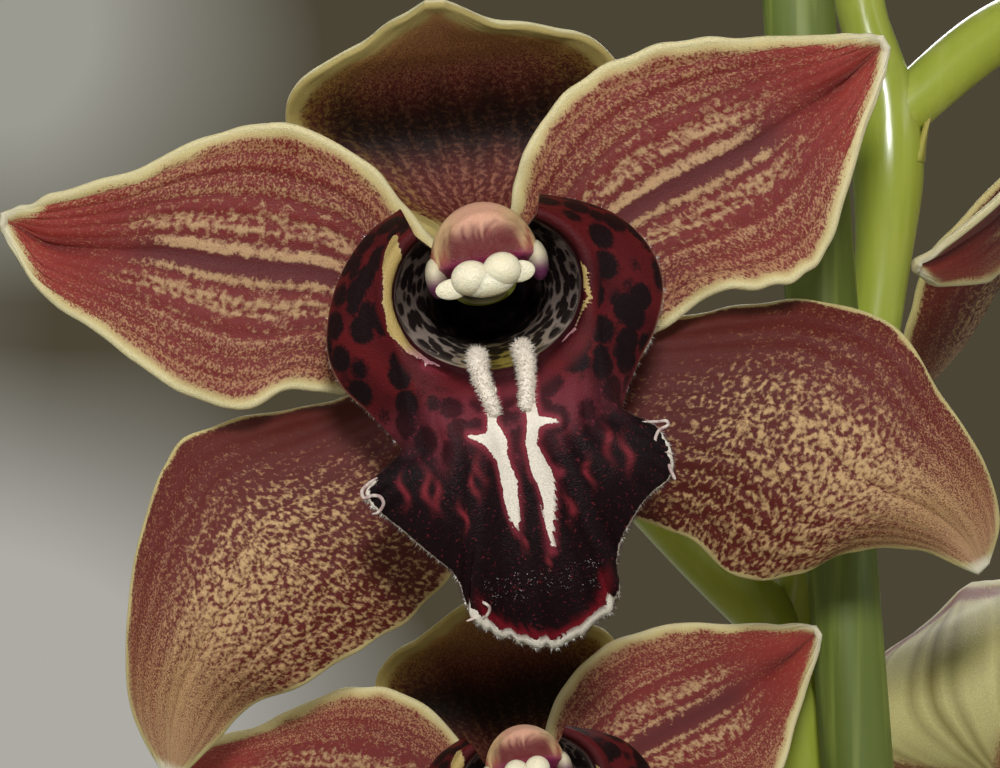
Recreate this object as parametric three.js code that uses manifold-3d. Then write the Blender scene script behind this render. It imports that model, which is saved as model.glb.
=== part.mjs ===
// A potted cymbidium orchid in flower: a plastic pot of bark, pseudobulbs with their fans of strap
// leaves, and one flower spike tied to a green stake, with nine open blooms and three buds.
// Millimetres, +Z up. The origin is the centre of the pot's underside. The best bloom faces -Y.
import * as THREE from "three";
import { mergeVertices } from "three/addons/utils/BufferGeometryUtils.js";
import Module from "manifold-3d";

const wasm = await Module();
wasm.setup();

// Driving dimensions of the pot and what fills it
const POT_HEIGHT = 180;
const POT_TOP_RADIUS = 96;
const POT_FOOT_RADIUS = 72;
const POT_WALL = 2.6;
const POT_RIM_DROP = 22;
const POT_RIM_FLARE = 5;
const POT_SIDES = 32;
const DRAIN_HOLES = 6;
const DRAIN_RADIUS = 6;
const DRAIN_RING = 46;
const MIX_TOP = 160;
const CHIP_COUNT = 20;
const SEAT_GAP = 0.35;

// Driving dimensions of the stake, the spike and its ties
const STAKE_RADIUS = 4.5;
const STAKE_FOOT = [49, 2, 26];
const STAKE_TOP = [-0.4, 2, 664];
const TIE_HEIGHTS = [330, 474];
const TIE_WALL = 1.3;
const TIE_BAND = 6;
const RACHIS_SIDES = 6;
const PEDICEL_SIDES = 5;

// Driving dimensions of one bloom. Its own frame has +X to the viewer's right, -Y to the viewer and
// +Z up, with the origin at the foot of the column, where all its pieces meet.
const TEPAL_THICKNESS = 1.1;
const LIP_THICKNESS = 0.9;
const OVARY_RADIUS = 4.0;

// Where the edges of each tepal run, from its claw to its tip, as [x, y, z]. Seen by the viewer with
// the tip up, first is the right edge. belly is how far the middle lies behind the two edges.
const DORSAL_SEPAL = {
  first: [
    [2.4, 0, 3.4], [6.5, 2.5, 7], [13, 4.5, 10.5], [19.5, 5, 15], [21, 2.5, 20], [18.6, -2, 25.1],
    [13.6, -5.5, 27.7], [7.2, -9, 29.4], [1.4, -13, 32.5],
  ],
  second: [
    [-2.4, 0, 3.4], [-5.5, 2.5, 8], [-11.5, 4.5, 12.5], [-17, 5, 18.5], [-19.3, 2.5, 23.2],
    [-17, -2, 27.3], [-11.6, -5.5, 29.2], [-5.8, -9, 31.3], [-0.8, -13, 32.8],
  ],
  belly: [0, 2, 4, 5.5, 5.5, 3.5, 1.5, 0.5, 0],
  ruffle: 0.5,
};
const PETAL_LEFT = {
  first: [
    [-3.4, -2, 2.8], [-4.9, -4, 6.9], [-7.3, -5.5, 11.2], [-10.8, -6.5, 17], [-17.4, -7, 22],
    [-23.6, -7, 23.4], [-30.2, -6, 22.6], [-37.7, -5, 20.8], [-46.2, -3, 20], [-50.6, -2, 19.4],
    [-53.6, -1, 19],
  ],
  second: [
    [-4.2, -2, -1.6], [-10.8, -4, -4.5], [-17.6, -4, -8.9], [-23.6, -5.5, -7.4], [-30.1, -6, -8.5],
    [-36, -6, -5.7], [-41.5, -5.5, -0.4], [-45.5, -5, 3.9], [-50.4, -3, 8.7], [-53, -2, 14.5],
    [-54, -1, 17.6],
  ],
  belly: [0, 0.5, 1, 1.5, 1.8, 1.8, 1.5, 1.2, 0.8, 0.4, 0],
  ruffle: 0.7,
};
const PETAL_RIGHT = {
  first: [
    [4.2, -2, -1.6], [10, -4, -5], [17.8, -4, -8.6], [25.6, -5.5, -5.4], [31.5, -6, -5.8],
    [36.3, -6, -5.2], [39.9, -5.5, -2.3], [43.1, -5, 3.6], [46.6, -3, 10.1], [49.8, -2, 15.4],
    [51.4, -1, 19],
  ],
  second: [
    [3.4, -2, 2.8], [4.3, -4, 7.3], [5.7, -5.5, 11.7], [8.2, -6.5, 15.8], [13.1, -7, 20.4],
    [19.4, -7, 23], [27.2, -6, 23.9], [34.7, -5, 23], [43.4, -3, 21.9], [47.9, -2, 21.3],
    [50.8, -1, 20.6],
  ],
  belly: [0, 0.5, 1, 1.5, 1.8, 1.8, 1.5, 1.2, 0.8, 0.4, 0],
  ruffle: 0.7,
};
const LATERAL_SEPAL_LEFT = {
  first: [
    [-3.7, 0.2, -0.2], [-9, 1, -6], [-18.4, 2, -9.4], [-28.6, 4, -9.6], [-37.7, 5, -10.6],
    [-42.3, 4, -15.9], [-46, 3.5, -23.6], [-48.6, 3, -32.6], [-49.6, 4, -40.6], [-47.6, 5, -48.8],
  ],
  second: [
    [-1.5, 0.2, -3.7], [-3.5, 1, -12], [-5, 2, -22], [-9, 4, -30.5], [-15, 5, -35.6],
    [-22.1, 5, -38.6], [-29.8, 4, -41.4], [-36.2, 4, -42.8], [-40.8, 4, -46.3], [-45.9, 5, -49.8],
  ],
  belly: [0, -2, -4.5, -6.5, -7, -6.5, -5.5, -4, -2, 0],
  ruffle: 0.4,
};
const LATERAL_SEPAL_RIGHT = {
  first: [
    [1.5, 0.2, -3.7], [4, 1, -13], [7.8, 2, -24], [13, 4, -29.5], [18.5, 5, -33],
    [22.8, 5, -38.2], [29.2, 4, -39.2], [36.6, 4, -37.6], [44.1, 4, -38.8], [50.9, 5, -43.4],
  ],
  second: [
    [3.7, 0.2, -0.2], [10.2, 1, -5.2], [18.8, 2, -7.2], [28.5, 4, -7.3], [37.9, 5, -8.3],
    [46.3, 4, -12.9], [49.9, 3.5, -21], [53.4, 3, -29.5], [54.4, 4, -36.8], [52.4, 5, -42.2],
  ],
  belly: [0, -2, -4.5, -6.5, -7, -6.5, -5.5, -4, -2, 0],
  ruffle: 0.4,
};

// The lip's free edge, from the top of its left side lobe round the mid lobe to the right side lobe
const LIP_EDGE = [
  [-7.6, -15, 10.1], [-11.5, -15.5, 8.2], [-14.8, -16, 5], [-17.2, -16.5, 1], [-18.5, -17, -4],
  [-17.6, -18, -8.2], [-15, -19, -11.8], [-12.6, -20.5, -15.4], [-12, -21.5, -17],
  [-14.8, -22, -18.4], [-17.1, -22.5, -20.5], [-15.4, -23, -23.2], [-12.4, -23.5, -26.6],
  [-9.2, -23.5, -30.6], [-8.3, -22.5, -34.4], [-7.2, -21.5, -37.2], [-3.6, -20.5, -39.6],
  [0.3, -20, -40.9], [4.4, -20.5, -39.6], [7.9, -21.5, -37.2], [8.7, -22.5, -33],
  [10.4, -23.5, -29.5], [12.9, -23.5, -26.6], [16.3, -23, -24.6], [16.9, -22.5, -21.6],
  [15.4, -22, -18.6], [12.4, -21.5, -17.4], [13, -20.5, -14.8], [15.4, -19, -11.3],
  [17.9, -18, -8], [19.6, -17, -3.6], [19, -16.5, 0.6], [16.4, -16, 4.6], [12.4, -15.5, 7.2],
  [7.9, -15, 8.9],
];
const LIP_RIM = { centre: [0.3, -0.5], radii: [11.2, 9.2], depth: -22.6 };
const LIP_FOOT = { centre: [0, -0.4], radii: [5.4, 5], depth: -4.2 };
// Behind its foot the lip closes in round the underside of the column, and runs up both its sides
const LIP_CLAW = { centre: [0, 0.3], radii: [3.75, 2.15], depth: -3.6, rise: 3.2 };
// The mid lobe narrows to this neck before it spreads
const LIP_NECK = { half: 11, middle: -19, side: -15.5, ends: 0.56 };
const LIP_WRAP = (142 * Math.PI) / 180;
const SIDE_LOBE_SWELL = 1;
const MID_LOBE_SWELL = 4.2;

// The two white keels that stand on the lip: the t they follow, from r to r on the lip's surface,
// with their height and radius at either end
const KEELS = { sides: [-0.09, 0.094], from: 0.36, to: 0.61, height: [1.45, 0.4], radius: [1.3, 0.75] };

// The column's sections, each with the centre of its axis, its half width, and how far it reaches
// above and below the axis
const COLUMN_SECTIONS = [
  { at: [0, 0.3, 0], half: 2.9, up: 3.2, down: 1.6 },
  { at: [0, -5, 0.7], half: 3.2, up: 3.5, down: 1.7 },
  { at: [0.1, -11, 1.6], half: 4.2, up: 4.2, down: 1.7 },
  { at: [0.3, -17, 2.3], half: 5.4, up: 5.6, down: 1.6 },
  { at: [0.6, -21.5, 2.4], half: 6.1, up: 6.8, down: 1.3 },
  { at: [0.8, -24.2, 2.6], half: 5, up: 5.5, down: 0.7 },
];
const COLUMN_FOOT = 0.3;
const PLAIN_COLUMN_FOOT = -2.6;
const ANTHER_CAP = { at: [0.5, -26.25, 0.9], lobe: [1.95, 1.7, 1.9], spread: 1.75 };
const PLAIN_CAP = { at: [0.5, -23.9, 2.1], lobe: [3.4, 1.7, 2] };

// Each bloom: where its foot is, how it is turned, and the height of its node on the spike. turn is
// about +Z, nod about its own +X, and roll about its own +Y, in degrees. leave is the heading in which
// its pedicel sets out from the spike.
const BLOOMS = [
  { name: "main_bloom", at: [-37, -28, 600], turn: 0, nod: 0, roll: -10.5, size: 1, node: 556, leave: 205 },
  { name: "bloom_2", at: [-32.3, -10, 537], turn: 0, nod: -18, roll: -11, size: 0.78, node: 514, leave: 190 },
  { name: "bloom_3", at: [43, 14, 634], turn: 72, nod: 31, roll: -62, size: 0.92, node: 622, leave: 8 },
  { name: "bloom_4", at: [32.5, 24, 533.5], turn: 150, nod: 0, roll: 24, size: 0.95, node: 494, leave: 50 },
  { name: "bloom_5", at: [-36, 8, 470], turn: -62, nod: 10, roll: 4, size: 0.92, node: 438, leave: 180 },
  { name: "bloom_6", at: [50, -14, 454], turn: 58, nod: 12, roll: -5, size: 0.94, node: 412, leave: 15 },
  { name: "bloom_7", at: [-28, -12, 710], turn: -32, nod: 6, roll: 3, size: 0.9, node: 680, leave: 215 },
  { name: "bloom_8", at: [42, 2, 738], turn: 62, nod: 6, roll: -4, size: 0.84, node: 706, leave: 0 },
  { name: "bloom_9", at: [2, 50, 704], turn: 168, nod: 6, roll: 2, size: 0.86, node: 656, leave: 95 },
];
const BUDS = [
  { at: [-16, 0, 772], node: 730, leave: 200, length: 30, radius: 8.5 },
  { at: [22, 14, 782], node: 748, leave: 20, length: 26, radius: 7.2 },
  { at: [2, 6, 800], node: 770, leave: 220, length: 21, radius: 5.6 },
];

// The spike's own line, from its root among the bulbs to its tip, as [x, y, z]
const SPIKE_LINE = [
  [17, 26, 146], [18, 23, 180], [22, 15.5, 230], [24, 11.8, 300], [18.5, 11.5, 380],
  [13, 11.4, 450], [7, 11.2, 510], [2.6, 10.8, 556], [12, 10.6, 597], [13.6, 10.6, 623],
  [9.8, 10.8, 640], [11, 11, 664], [7.5, 10.6, 692], [9.5, 10, 720], [6, 9.5, 746],
  [6.5, 9, 772],
];
const SPIKE_ROOT_RADIUS = 5;
const SPIKE_TIP_RADIUS = 1.9;
const SHEATHS = [190, 262, 372];

// Each shoot: where its bulb stands, the heading its fan leans to, its bulb's half length, half width
// and height, and the length of its longest leaf. The fan spreads square to its heading.
const SHOOTS = [
  { at: [-48, 8], fan: 178, bulb: [20, 16, 66], leaves: 5, reach: 490 },
  { at: [-10, -42], fan: 252, bulb: [19, 15, 62], leaves: 5, reach: 450 },
  { at: [-10, 52], fan: 103, bulb: [20, 16, 68], leaves: 5, reach: 490 },
  { at: [57, 36], fan: 32, bulb: [19, 15, 64], leaves: 5, reach: 490 },
  { at: [46, -48], fan: 318, bulb: [18, 14, 56], leaves: 5, reach: 455 },
];
const BACK_BULB = { at: [-52, -44], bulb: [17, 14, 50], fan: 310 };
const LEAF_WIDTH = 27;
const LEAF_THICKNESS = 1.3;
const LEAF_EDGE = 0.8;
const LEAF_STATIONS = 6;
const LEAF_SPREAD = 32;
const LEAF_SEEDS = [381, 388, 395, 402, 409];

const COLOURS = {
  pot: { color: 0x2b2d2c, roughness: 0.55 },
  bark: { color: 0x5b3d28, roughness: 0.95 },
  stake: { color: 0x4f6d35, roughness: 0.5 },
  tie: { color: 0x2f4a2c, roughness: 0.6 },
  stem: { color: 0xa3ad3f, roughness: 0.35 },
  bulb: { color: 0x7f8f45, roughness: 0.5 },
  leaf: { color: 0x3f6428, roughness: 0.42 },
  tepal: { color: 0x8a3a38, roughness: 0.55 },
  lip: { color: 0x3a0c14, roughness: 0.6 },
  column: { color: 0xb86a66, roughness: 0.4 },
  cap: { color: 0xf1ead2, roughness: 0.4 },
  bud: { color: 0x9a9a4a, roughness: 0.45 },
};

const materials = Object.fromEntries(
  Object.entries(COLOURS).map(([name, look]) => [
    name,
    new THREE.MeshStandardMaterial({ ...look, metalness: 0, name }),
  ]),
);

// A small seeded generator of numbers from 0 to 1, so that every build is the same
function seededRandom(seed) {
  let state = seed;
  return () => {
    state = (state * 16807) % 2147483647;
    return state / 2147483647;
  };
}

// The point at share s of a smooth curve that runs through every listed point
function along(points, s) {
  const last = points.length - 1;
  const position = Math.min(Math.max(s, 0), 1) * last;
  const i = Math.min(Math.floor(position), last - 1);
  const t = position - i;
  const p1 = points[i];
  const p2 = points[i + 1];
  const p0 = points[i - 1] ?? p1.map((c, k) => 2 * c - p2[k]);
  const p3 = points[i + 2] ?? p2.map((c, k) => 2 * c - p1[k]);
  return p1.map((c, k) => {
    const cubic = 3 * c - p0[k] - 3 * p2[k] + p3[k];
    const square = 2 * p0[k] - 5 * c + 4 * p2[k] - p3[k];
    return c + 0.5 * t * (p2[k] - p0[k] + t * (square + t * cubic));
  });
}

const alongNumbers = (values, s) => along(values.map((v) => [v]), s)[0];
const mix = (a, b, t) => a + (b - a) * t;

// Rises from 0 at low to 1 at high with level ends. low may be the greater.
function smooth(low, high, x) {
  const t = Math.min(1, Math.max(0, (x - low) / (high - low)));
  return t * t * (3 - 2 * t);
}
const UP = new THREE.Vector3(0, 0, 1);

// A closed mesh from its points and triangles
function meshOf(points, faces) {
  const geometry = new THREE.BufferGeometry();
  geometry.setAttribute("position", new THREE.Float32BufferAttribute(points.flat(), 3));
  geometry.setIndex(faces.flat());
  return geometry;
}

// The point at a height off surface(u, v), for u from 0 to 1 and v from -1 to 1
function offSurface(surface, u, v, height) {
  const step = 1e-3;
  const at = (a, b) => new THREE.Vector3(...surface(a, b));
  const alongU = at(Math.min(u + step, 1), v).sub(at(Math.max(u - step, 0), v));
  const alongV = at(u, Math.min(v + step, 1)).sub(at(u, Math.max(v - step, -1)));
  return at(u, v).addScaledVector(alongU.cross(alongV).normalize(), height).toArray();
}

// A closed sheet: surface(u, v) is its middle, thickness(u) its thickness there. Both faces are
// split into triangles alike.
function sheet(surface, thickness, nu, nv) {
  const points = [];
  for (const side of [0.5, -0.5])
    for (let i = 0; i <= nu; i++)
      for (let j = 0; j <= nv; j++)
        points.push(offSurface(surface, i / nu, (2 * j) / nv - 1, side * thickness(i / nu)));
  const count = (nu + 1) * (nv + 1);
  const index = (side, i, j) => side * count + i * (nv + 1) + j;
  const faces = [];
  for (let i = 0; i < nu; i++)
    for (let j = 0; j < nv; j++)
      for (const side of [0, 1]) {
        const [a, b, c, d] = [
          index(side, i, j), index(side, i + 1, j), index(side, i + 1, j + 1), index(side, i, j + 1),
        ];
        faces.push(...(side === 0 ? [[a, b, c], [a, c, d]] : [[a, c, b], [a, d, c]]));
      }
  const border = [];
  for (let i = 0; i < nu; i++) border.push([i, 0]);
  for (let j = 0; j < nv; j++) border.push([nu, j]);
  for (let i = nu; i > 0; i--) border.push([i, nv]);
  for (let j = nv; j > 0; j--) border.push([0, j]);
  border.forEach(([i, j], k) => {
    const [m, n] = border[(k + 1) % border.length];
    const [a, b, c, d] = [index(0, i, j), index(0, m, n), index(1, m, n), index(1, i, j)];
    faces.push([a, c, b], [a, d, c]);
  });
  return meshOf(points, faces);
}

// A closed body through rings of points that all hold the same number of points
function loft(rings) {
  const count = rings[0].length;
  const points = rings.flat();
  const faces = [];
  for (let i = 0; i < rings.length - 1; i++)
    for (let j = 0; j < count; j++) {
      const [a, b] = [i * count + j, i * count + ((j + 1) % count)];
      faces.push([a, b, b + count], [a, b + count, a + count]);
    }
  const end = (ring, start, flip) => {
    points.push([0, 1, 2].map((k) => ring.reduce((sum, p) => sum + p[k], 0) / count));
    const hub = points.length - 1;
    for (let j = 0; j < count; j++) {
      const [a, b] = [start + j, start + ((j + 1) % count)];
      faces.push(flip ? [hub, b, a] : [hub, a, b]);
    }
  };
  end(rings[0], 0, true);
  end(rings.at(-1), (rings.length - 1) * count, false);
  return meshOf(points, faces);
}

const evenly = (count) => Array.from({ length: count + 1 }, (_, i) => i / count);

// A round tube of varying radius along path(s), with a ring at each of the listed shares s
function tube(path, radius, sides, shares) {
  const rings = [];
  let sideways = null;
  for (const s of shares) {
    const here = new THREE.Vector3(...path(s));
    const ahead = new THREE.Vector3(...path(Math.min(s + 0.01, 1)));
    const behind = new THREE.Vector3(...path(Math.max(s - 0.01, 0)));
    const forward = ahead.sub(behind).normalize();
    sideways ??= new THREE.Vector3(1, 0.01, 0.02).cross(forward).normalize();
    sideways.addScaledVector(forward, -sideways.dot(forward)).normalize();
    const other = new THREE.Vector3().crossVectors(forward, sideways);
    const ring = [];
    for (let j = 0; j < sides; j++) {
      const angle = (2 * Math.PI * j) / sides;
      const point = here.clone().addScaledVector(sideways, radius(s) * Math.cos(angle));
      ring.push(point.addScaledVector(other, radius(s) * Math.sin(angle)).toArray());
    }
    rings.push(ring);
  }
  return loft(rings);
}

// A geometry as a solid, turned right side out
function solid(geometry) {
  const bare = geometry.clone();
  bare.deleteAttribute("normal");
  bare.deleteAttribute("uv");
  const merged = mergeVertices(bare, 1e-4);
  const build = (triVerts) =>
    new wasm.Manifold(
      new wasm.Mesh({
        numProp: 3,
        vertProperties: new Float32Array(merged.attributes.position.array),
        triVerts,
      }),
    );
  const faces = new Uint32Array(merged.index.array);
  const made = build(faces);
  if (made.volume() > 0) return made;
  return build(faces.map((_, i) => faces[i % 3 === 0 ? i : i % 3 === 1 ? i + 1 : i - 1]));
}

const fuse = (solids) => solids.reduce((all, one) => all.add(one));

function geometryOf(body) {
  const { vertProperties, triVerts } = body.getMesh();
  const geometry = new THREE.BufferGeometry();
  geometry.setAttribute("position", new THREE.Float32BufferAttribute(vertProperties, 3));
  geometry.setIndex([...triVerts]);
  geometry.computeVertexNormals();
  return geometry;
}

const orchid = new THREE.Group();

function place(name, body, look, parent = orchid) {
  const mesh = new THREE.Mesh(geometryOf(body), materials[look]);
  mesh.name = name;
  parent.add(mesh);
}

// A body of revolution about +Z from a profile of [radius, height] points
function revolved(profile, sides) {
  const points = profile.map(([r, z]) => new THREE.Vector2(r, z));
  return solid(new THREE.LatheGeometry(points, sides).rotateX(Math.PI / 2));
}

function cylinder(radius, low, high, sides, at = [0, 0]) {
  const geometry = new THREE.CylinderGeometry(radius, radius, high - low, sides);
  return solid(geometry.rotateX(Math.PI / 2).translate(at[0], at[1], (low + high) / 2));
}

// The pot's outer and inner radius at a height
const potOuter = (z) => mix(POT_FOOT_RADIUS, POT_TOP_RADIUS, z / POT_HEIGHT);
const potInner = (z) => potOuter(z) - POT_WALL;

function pot() {
  const rimLow = POT_HEIGHT - POT_RIM_DROP;
  const rimRadius = POT_TOP_RADIUS + POT_RIM_FLARE;
  const profile = [
    [0, 0], [POT_FOOT_RADIUS, 0], [potOuter(rimLow), rimLow], [rimRadius - 1.5, rimLow + 1],
    [rimRadius, POT_HEIGHT], [rimRadius - POT_WALL, POT_HEIGHT], [potInner(rimLow + 5), rimLow + 5],
    [potInner(POT_WALL), POT_WALL], [0, POT_WALL],
  ];
  let body = revolved(profile, POT_SIDES);
  for (let i = 0; i < DRAIN_HOLES; i++) {
    const angle = (2 * Math.PI * (i + 0.5)) / DRAIN_HOLES;
    const at = [DRAIN_RING * Math.cos(angle), DRAIN_RING * Math.sin(angle)];
    body = body.subtract(cylinder(DRAIN_RADIUS, -1, POT_WALL + 1, 8, at));
  }
  return body;
}

// Bark fills the pot to MIX_TOP. Chips lie on it at seeded places and turns, sunk halfway in.
function growingMix(holes) {
  const random = seededRandom(41);
  const clear = SEAT_GAP;
  const bottom = POT_WALL + clear;
  const top = MIX_TOP - 4;
  const profile = [
    [0, bottom], [potInner(bottom) - clear, bottom], [potInner(top) - clear, top], [0, top],
  ];
  const chips = [];
  for (let i = 0; i < CHIP_COUNT; i++) {
    const radius = (potInner(MIX_TOP) - 17) * Math.sqrt((i + 0.5) / CHIP_COUNT);
    const angle = i * Math.PI * (3 - Math.sqrt(5));
    const size = [mix(13, 23, random()), mix(9, 15, random()), mix(7, 11, random())];
    const chip = new THREE.BoxGeometry(...size).rotateX(mix(-0.4, 0.4, random()));
    chip.rotateY(mix(-0.4, 0.4, random())).rotateZ(2 * Math.PI * random());
    chip.translate(radius * Math.cos(angle), radius * Math.sin(angle), top + 1);
    chips.push(solid(chip));
  }
  let body = revolved(profile, POT_SIDES).add(fuse(chips));
  for (const hole of holes) body = body.subtract(hole);
  return body.decompose().sort((a, b) => b.volume() - a.volume())[0];
}

// The point of the stake's axis at a height
function stakeAt(z) {
  const s = (z - STAKE_FOOT[2]) / (STAKE_TOP[2] - STAKE_FOOT[2]);
  return [mix(STAKE_FOOT[0], STAKE_TOP[0], s), mix(STAKE_FOOT[1], STAKE_TOP[1], s), z];
}

function stake(extra = 0) {
  const line = (s) => [0, 1, 2].map((k) => mix(STAKE_FOOT[k], STAKE_TOP[k], s));
  return solid(tube(line, (s) => (s === 1 ? 0.7 : 1) * STAKE_RADIUS + extra, 12, [0, 0.997, 1]));
}

// The spike's line by height: its points are dense enough to find the share at any height
const SPIKE_SHARES = Array.from({ length: 401 }, (_, i) => i / 400);
const spikeShare = (z) => SPIKE_SHARES.find((s) => along(SPIKE_LINE, s)[2] >= z) ?? 1;
const spikeAt = (z) => along(SPIKE_LINE, spikeShare(z));
const NODE_HEIGHTS = [...BLOOMS, ...BUDS].map((flower) => flower.node);

// The stem tapers upward, and swells just under each node
function spikeRadius(s) {
  const z = along(SPIKE_LINE, s)[2];
  const taper = mix(SPIKE_ROOT_RADIUS, SPIKE_TIP_RADIUS, Math.pow(s, 2.2));
  const swell = Math.max(...NODE_HEIGHTS.map((node) => Math.exp(-(((z - node + 5) / 9) ** 2))));
  return taper * (0.82 + 0.3 * swell);
}

// How a bloom's own frame lies in the orchid's
function bloomMatrix({ at, turn, nod, roll, size }) {
  const angles = [nod, roll, turn].map(THREE.MathUtils.degToRad);
  const turned = new THREE.Quaternion().setFromEuler(new THREE.Euler(...angles, "ZXY"));
  const scale = new THREE.Vector3(size, size, size);
  return new THREE.Matrix4().compose(new THREE.Vector3(...at), turned, scale);
}

// A pedicel leaves its node on the given heading, and comes to the flower from behind, along back
function pedicelLine({ node, leave }, end, back) {
  const start = new THREE.Vector3(...spikeAt(node));
  const finish = new THREE.Vector3(...end);
  const reach = start.distanceTo(finish);
  const heading = THREE.MathUtils.degToRad(leave);
  const outward = new THREE.Vector3(Math.cos(heading), Math.sin(heading), 0.8);
  const curve = new THREE.CubicBezierCurve3(
    start, start.clone().addScaledVector(outward, 0.28 * reach),
    finish.clone().addScaledVector(back, 0.4 * reach), finish,
  );
  return (s) => curve.getPoint(s).toArray();
}

const budRise = ({ at }) => new THREE.Vector3(0.6 * (at[0] - 6), 0.6 * (at[1] - 9), 26).normalize();

function spike() {
  const parts = [solid(tube((s) => along(SPIKE_LINE, s), spikeRadius, RACHIS_SIDES, evenly(32)))];
  for (const bloom of BLOOMS) {
    const matrix = bloomMatrix(bloom);
    const back = new THREE.Vector3(0, 1, 0).transformDirection(matrix);
    const end = new THREE.Vector3(0, 1.15, 0).applyMatrix4(matrix).toArray();
    const radius = (s) => bloom.size * OVARY_RADIUS * (0.93 + 0.1 * Math.sin(Math.PI * s));
    parts.push(solid(tube(pedicelLine(bloom, end, back), radius, PEDICEL_SIDES, evenly(5))));
  }
  for (const each of BUDS) {
    const line = pedicelLine(each, each.at, budRise(each).negate());
    parts.push(solid(tube(line, () => 0.3 * each.radius, 5, evenly(4))));
  }
  for (const z of SHEATHS) {
    const low = spikeShare(z);
    const high = spikeShare(z + 52);
    const line = (s) => along(SPIKE_LINE, mix(low, high, s));
    const radius = (s) => spikeRadius(mix(low, high, s)) + 0.3 + 1.1 * Math.sin(Math.PI * s ** 0.7);
    parts.push(solid(tube(line, radius, RACHIS_SIDES, evenly(2))));
  }
  return fuse(parts);
}

// A tepal's middle surface: straight lines between its two edges, with the belly pushed back
function tepalSurface({ first, second, belly, ruffle }) {
  return (u, v) => {
    const a = along(first, u);
    const b = along(second, u);
    const share = (v + 1) / 2;
    const round = 1 - Math.abs(v) ** 2.2;
    const wave = ruffle * Math.abs(v) ** 3 * Math.sin(Math.PI * (5 * u + 0.4 * v)) * Math.sin(Math.PI * u);
    return [
      mix(a[0], b[0], share),
      mix(a[1], b[1], share) + alongNumbers(belly, u) * round + wave,
      mix(a[2], b[2], share),
    ];
  };
}

const tepal = (shape, nu, nv) => solid(sheet(tepalSurface(shape), () => TEPAL_THICKNESS, nu, nv));

// The lip's middle surface. t runs from -1 on the left to 1 on the right, r from 0 at the lip's claw
// through the rim of its throat to 1 at the free edge.
function lipSurface(r, t) {
  const angle = t * LIP_WRAP;
  const ring = ({ centre, radii, depth }, turned = angle) => [
    centre[0] + radii[0] * Math.sin(turned), depth, centre[1] - radii[1] * Math.cos(turned),
  ];
  const quarter = Math.min(Math.abs(angle), Math.PI / 2);
  const claw = ring(LIP_CLAW, Math.sign(angle) * quarter);
  claw[2] += (LIP_CLAW.rise * (Math.abs(angle) - quarter)) / (LIP_WRAP - Math.PI / 2);
  const foot = ring(LIP_FOOT);
  const rim = ring(LIP_RIM);
  const edge = along(LIP_EDGE, (t + 1) / 2);
  const swell = mix(SIDE_LOBE_SWELL, MID_LOBE_SWELL, Math.exp(-((t / 0.42) ** 4)));
  const between = (a, b, s, lift) => [mix(a[0], b[0], s), mix(a[1], b[1], s) + lift, mix(a[2], b[2], s)];
  const { half, middle, side, ends } = LIP_NECK;
  const share = Math.min(1, Math.abs(t) / ends);
  const neck = [
    LIP_RIM.centre[0] + (half * Math.sign(t) * Math.sin(1.35 * share)) / Math.sin(1.35),
    mix(rim[1], edge[1], 0.5), mix(middle, side, share ** 2),
  ];
  // the neck is left to the mid lobe: beyond it the lip runs straight from its rim to its edge
  const held = smooth(0.62, 0.44, Math.abs(t));
  const row = (plain, necked, lift) => between(plain, necked, held, lift * swell);
  const rows = [
    claw,
    foot,
    between(foot, rim, 0.42, -1.5),
    between(foot, rim, 0.86, -0.3),
    between(rim, edge, 0.06, -0.5),
    row(between(rim, edge, 0.36, 0), between(rim, neck, 0.6, 0), -0.85),
    row(between(rim, edge, 0.64, 0), neck, -1),
    row(between(rim, edge, 0.84, 0), between(neck, edge, 0.55, 0), -0.7),
    edge,
  ];
  return along(rows, r);
}

const lipBlade = (nr, nt) =>
  solid(sheet(lipSurface, (r) => LIP_THICKNESS * (1 - 0.25 * r), nr, nt));

// The keels stand on the lip's upper face, and sink into it towards their ends
function keels() {
  const { sides, from, to, height, radius } = KEELS;
  return sides.map((t) => {
    const crest = (s) => offSurface(lipSurface, mix(from, to, s), t * mix(1.25, 0.7, s), mix(...height, s));
    return solid(tube(crest, (s) => mix(...radius, s), 6, evenly(4)));
  });
}

// The column: arched above and flatter below
function column(sides, foot) {
  const rings = COLUMN_SECTIONS.map(({ at: [x, y, z], half, up, down }) =>
    Array.from({ length: sides }, (_, j) => {
      const angle = (2 * Math.PI * j) / sides;
      const lift = (Math.sin(angle) > 0 ? up : down) * Math.sin(angle);
      return [x + half * Math.cos(angle), Math.min(y, foot), z + lift];
    }),
  );
  return solid(loft(rings));
}

// The anther cap: two rounded lobes side by side under the column's tip
function antherCap() {
  const [x, y, z] = ANTHER_CAP.at;
  const lobes = [-1, 1].map((side) => {
    const ball = new THREE.SphereGeometry(1, 9, 6).scale(...ANTHER_CAP.lobe);
    return solid(ball.translate(x + side * ANTHER_CAP.spread, y, z + 0.15 * side));
  });
  return fuse(lobes);
}

// The same cap as one lobe, high enough to hold on the column
function plainCap() {
  const ball = new THREE.SphereGeometry(1, 5, 3).scale(...PLAIN_CAP.lobe);
  return solid(ball.translate(...PLAIN_CAP.at));
}

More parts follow.
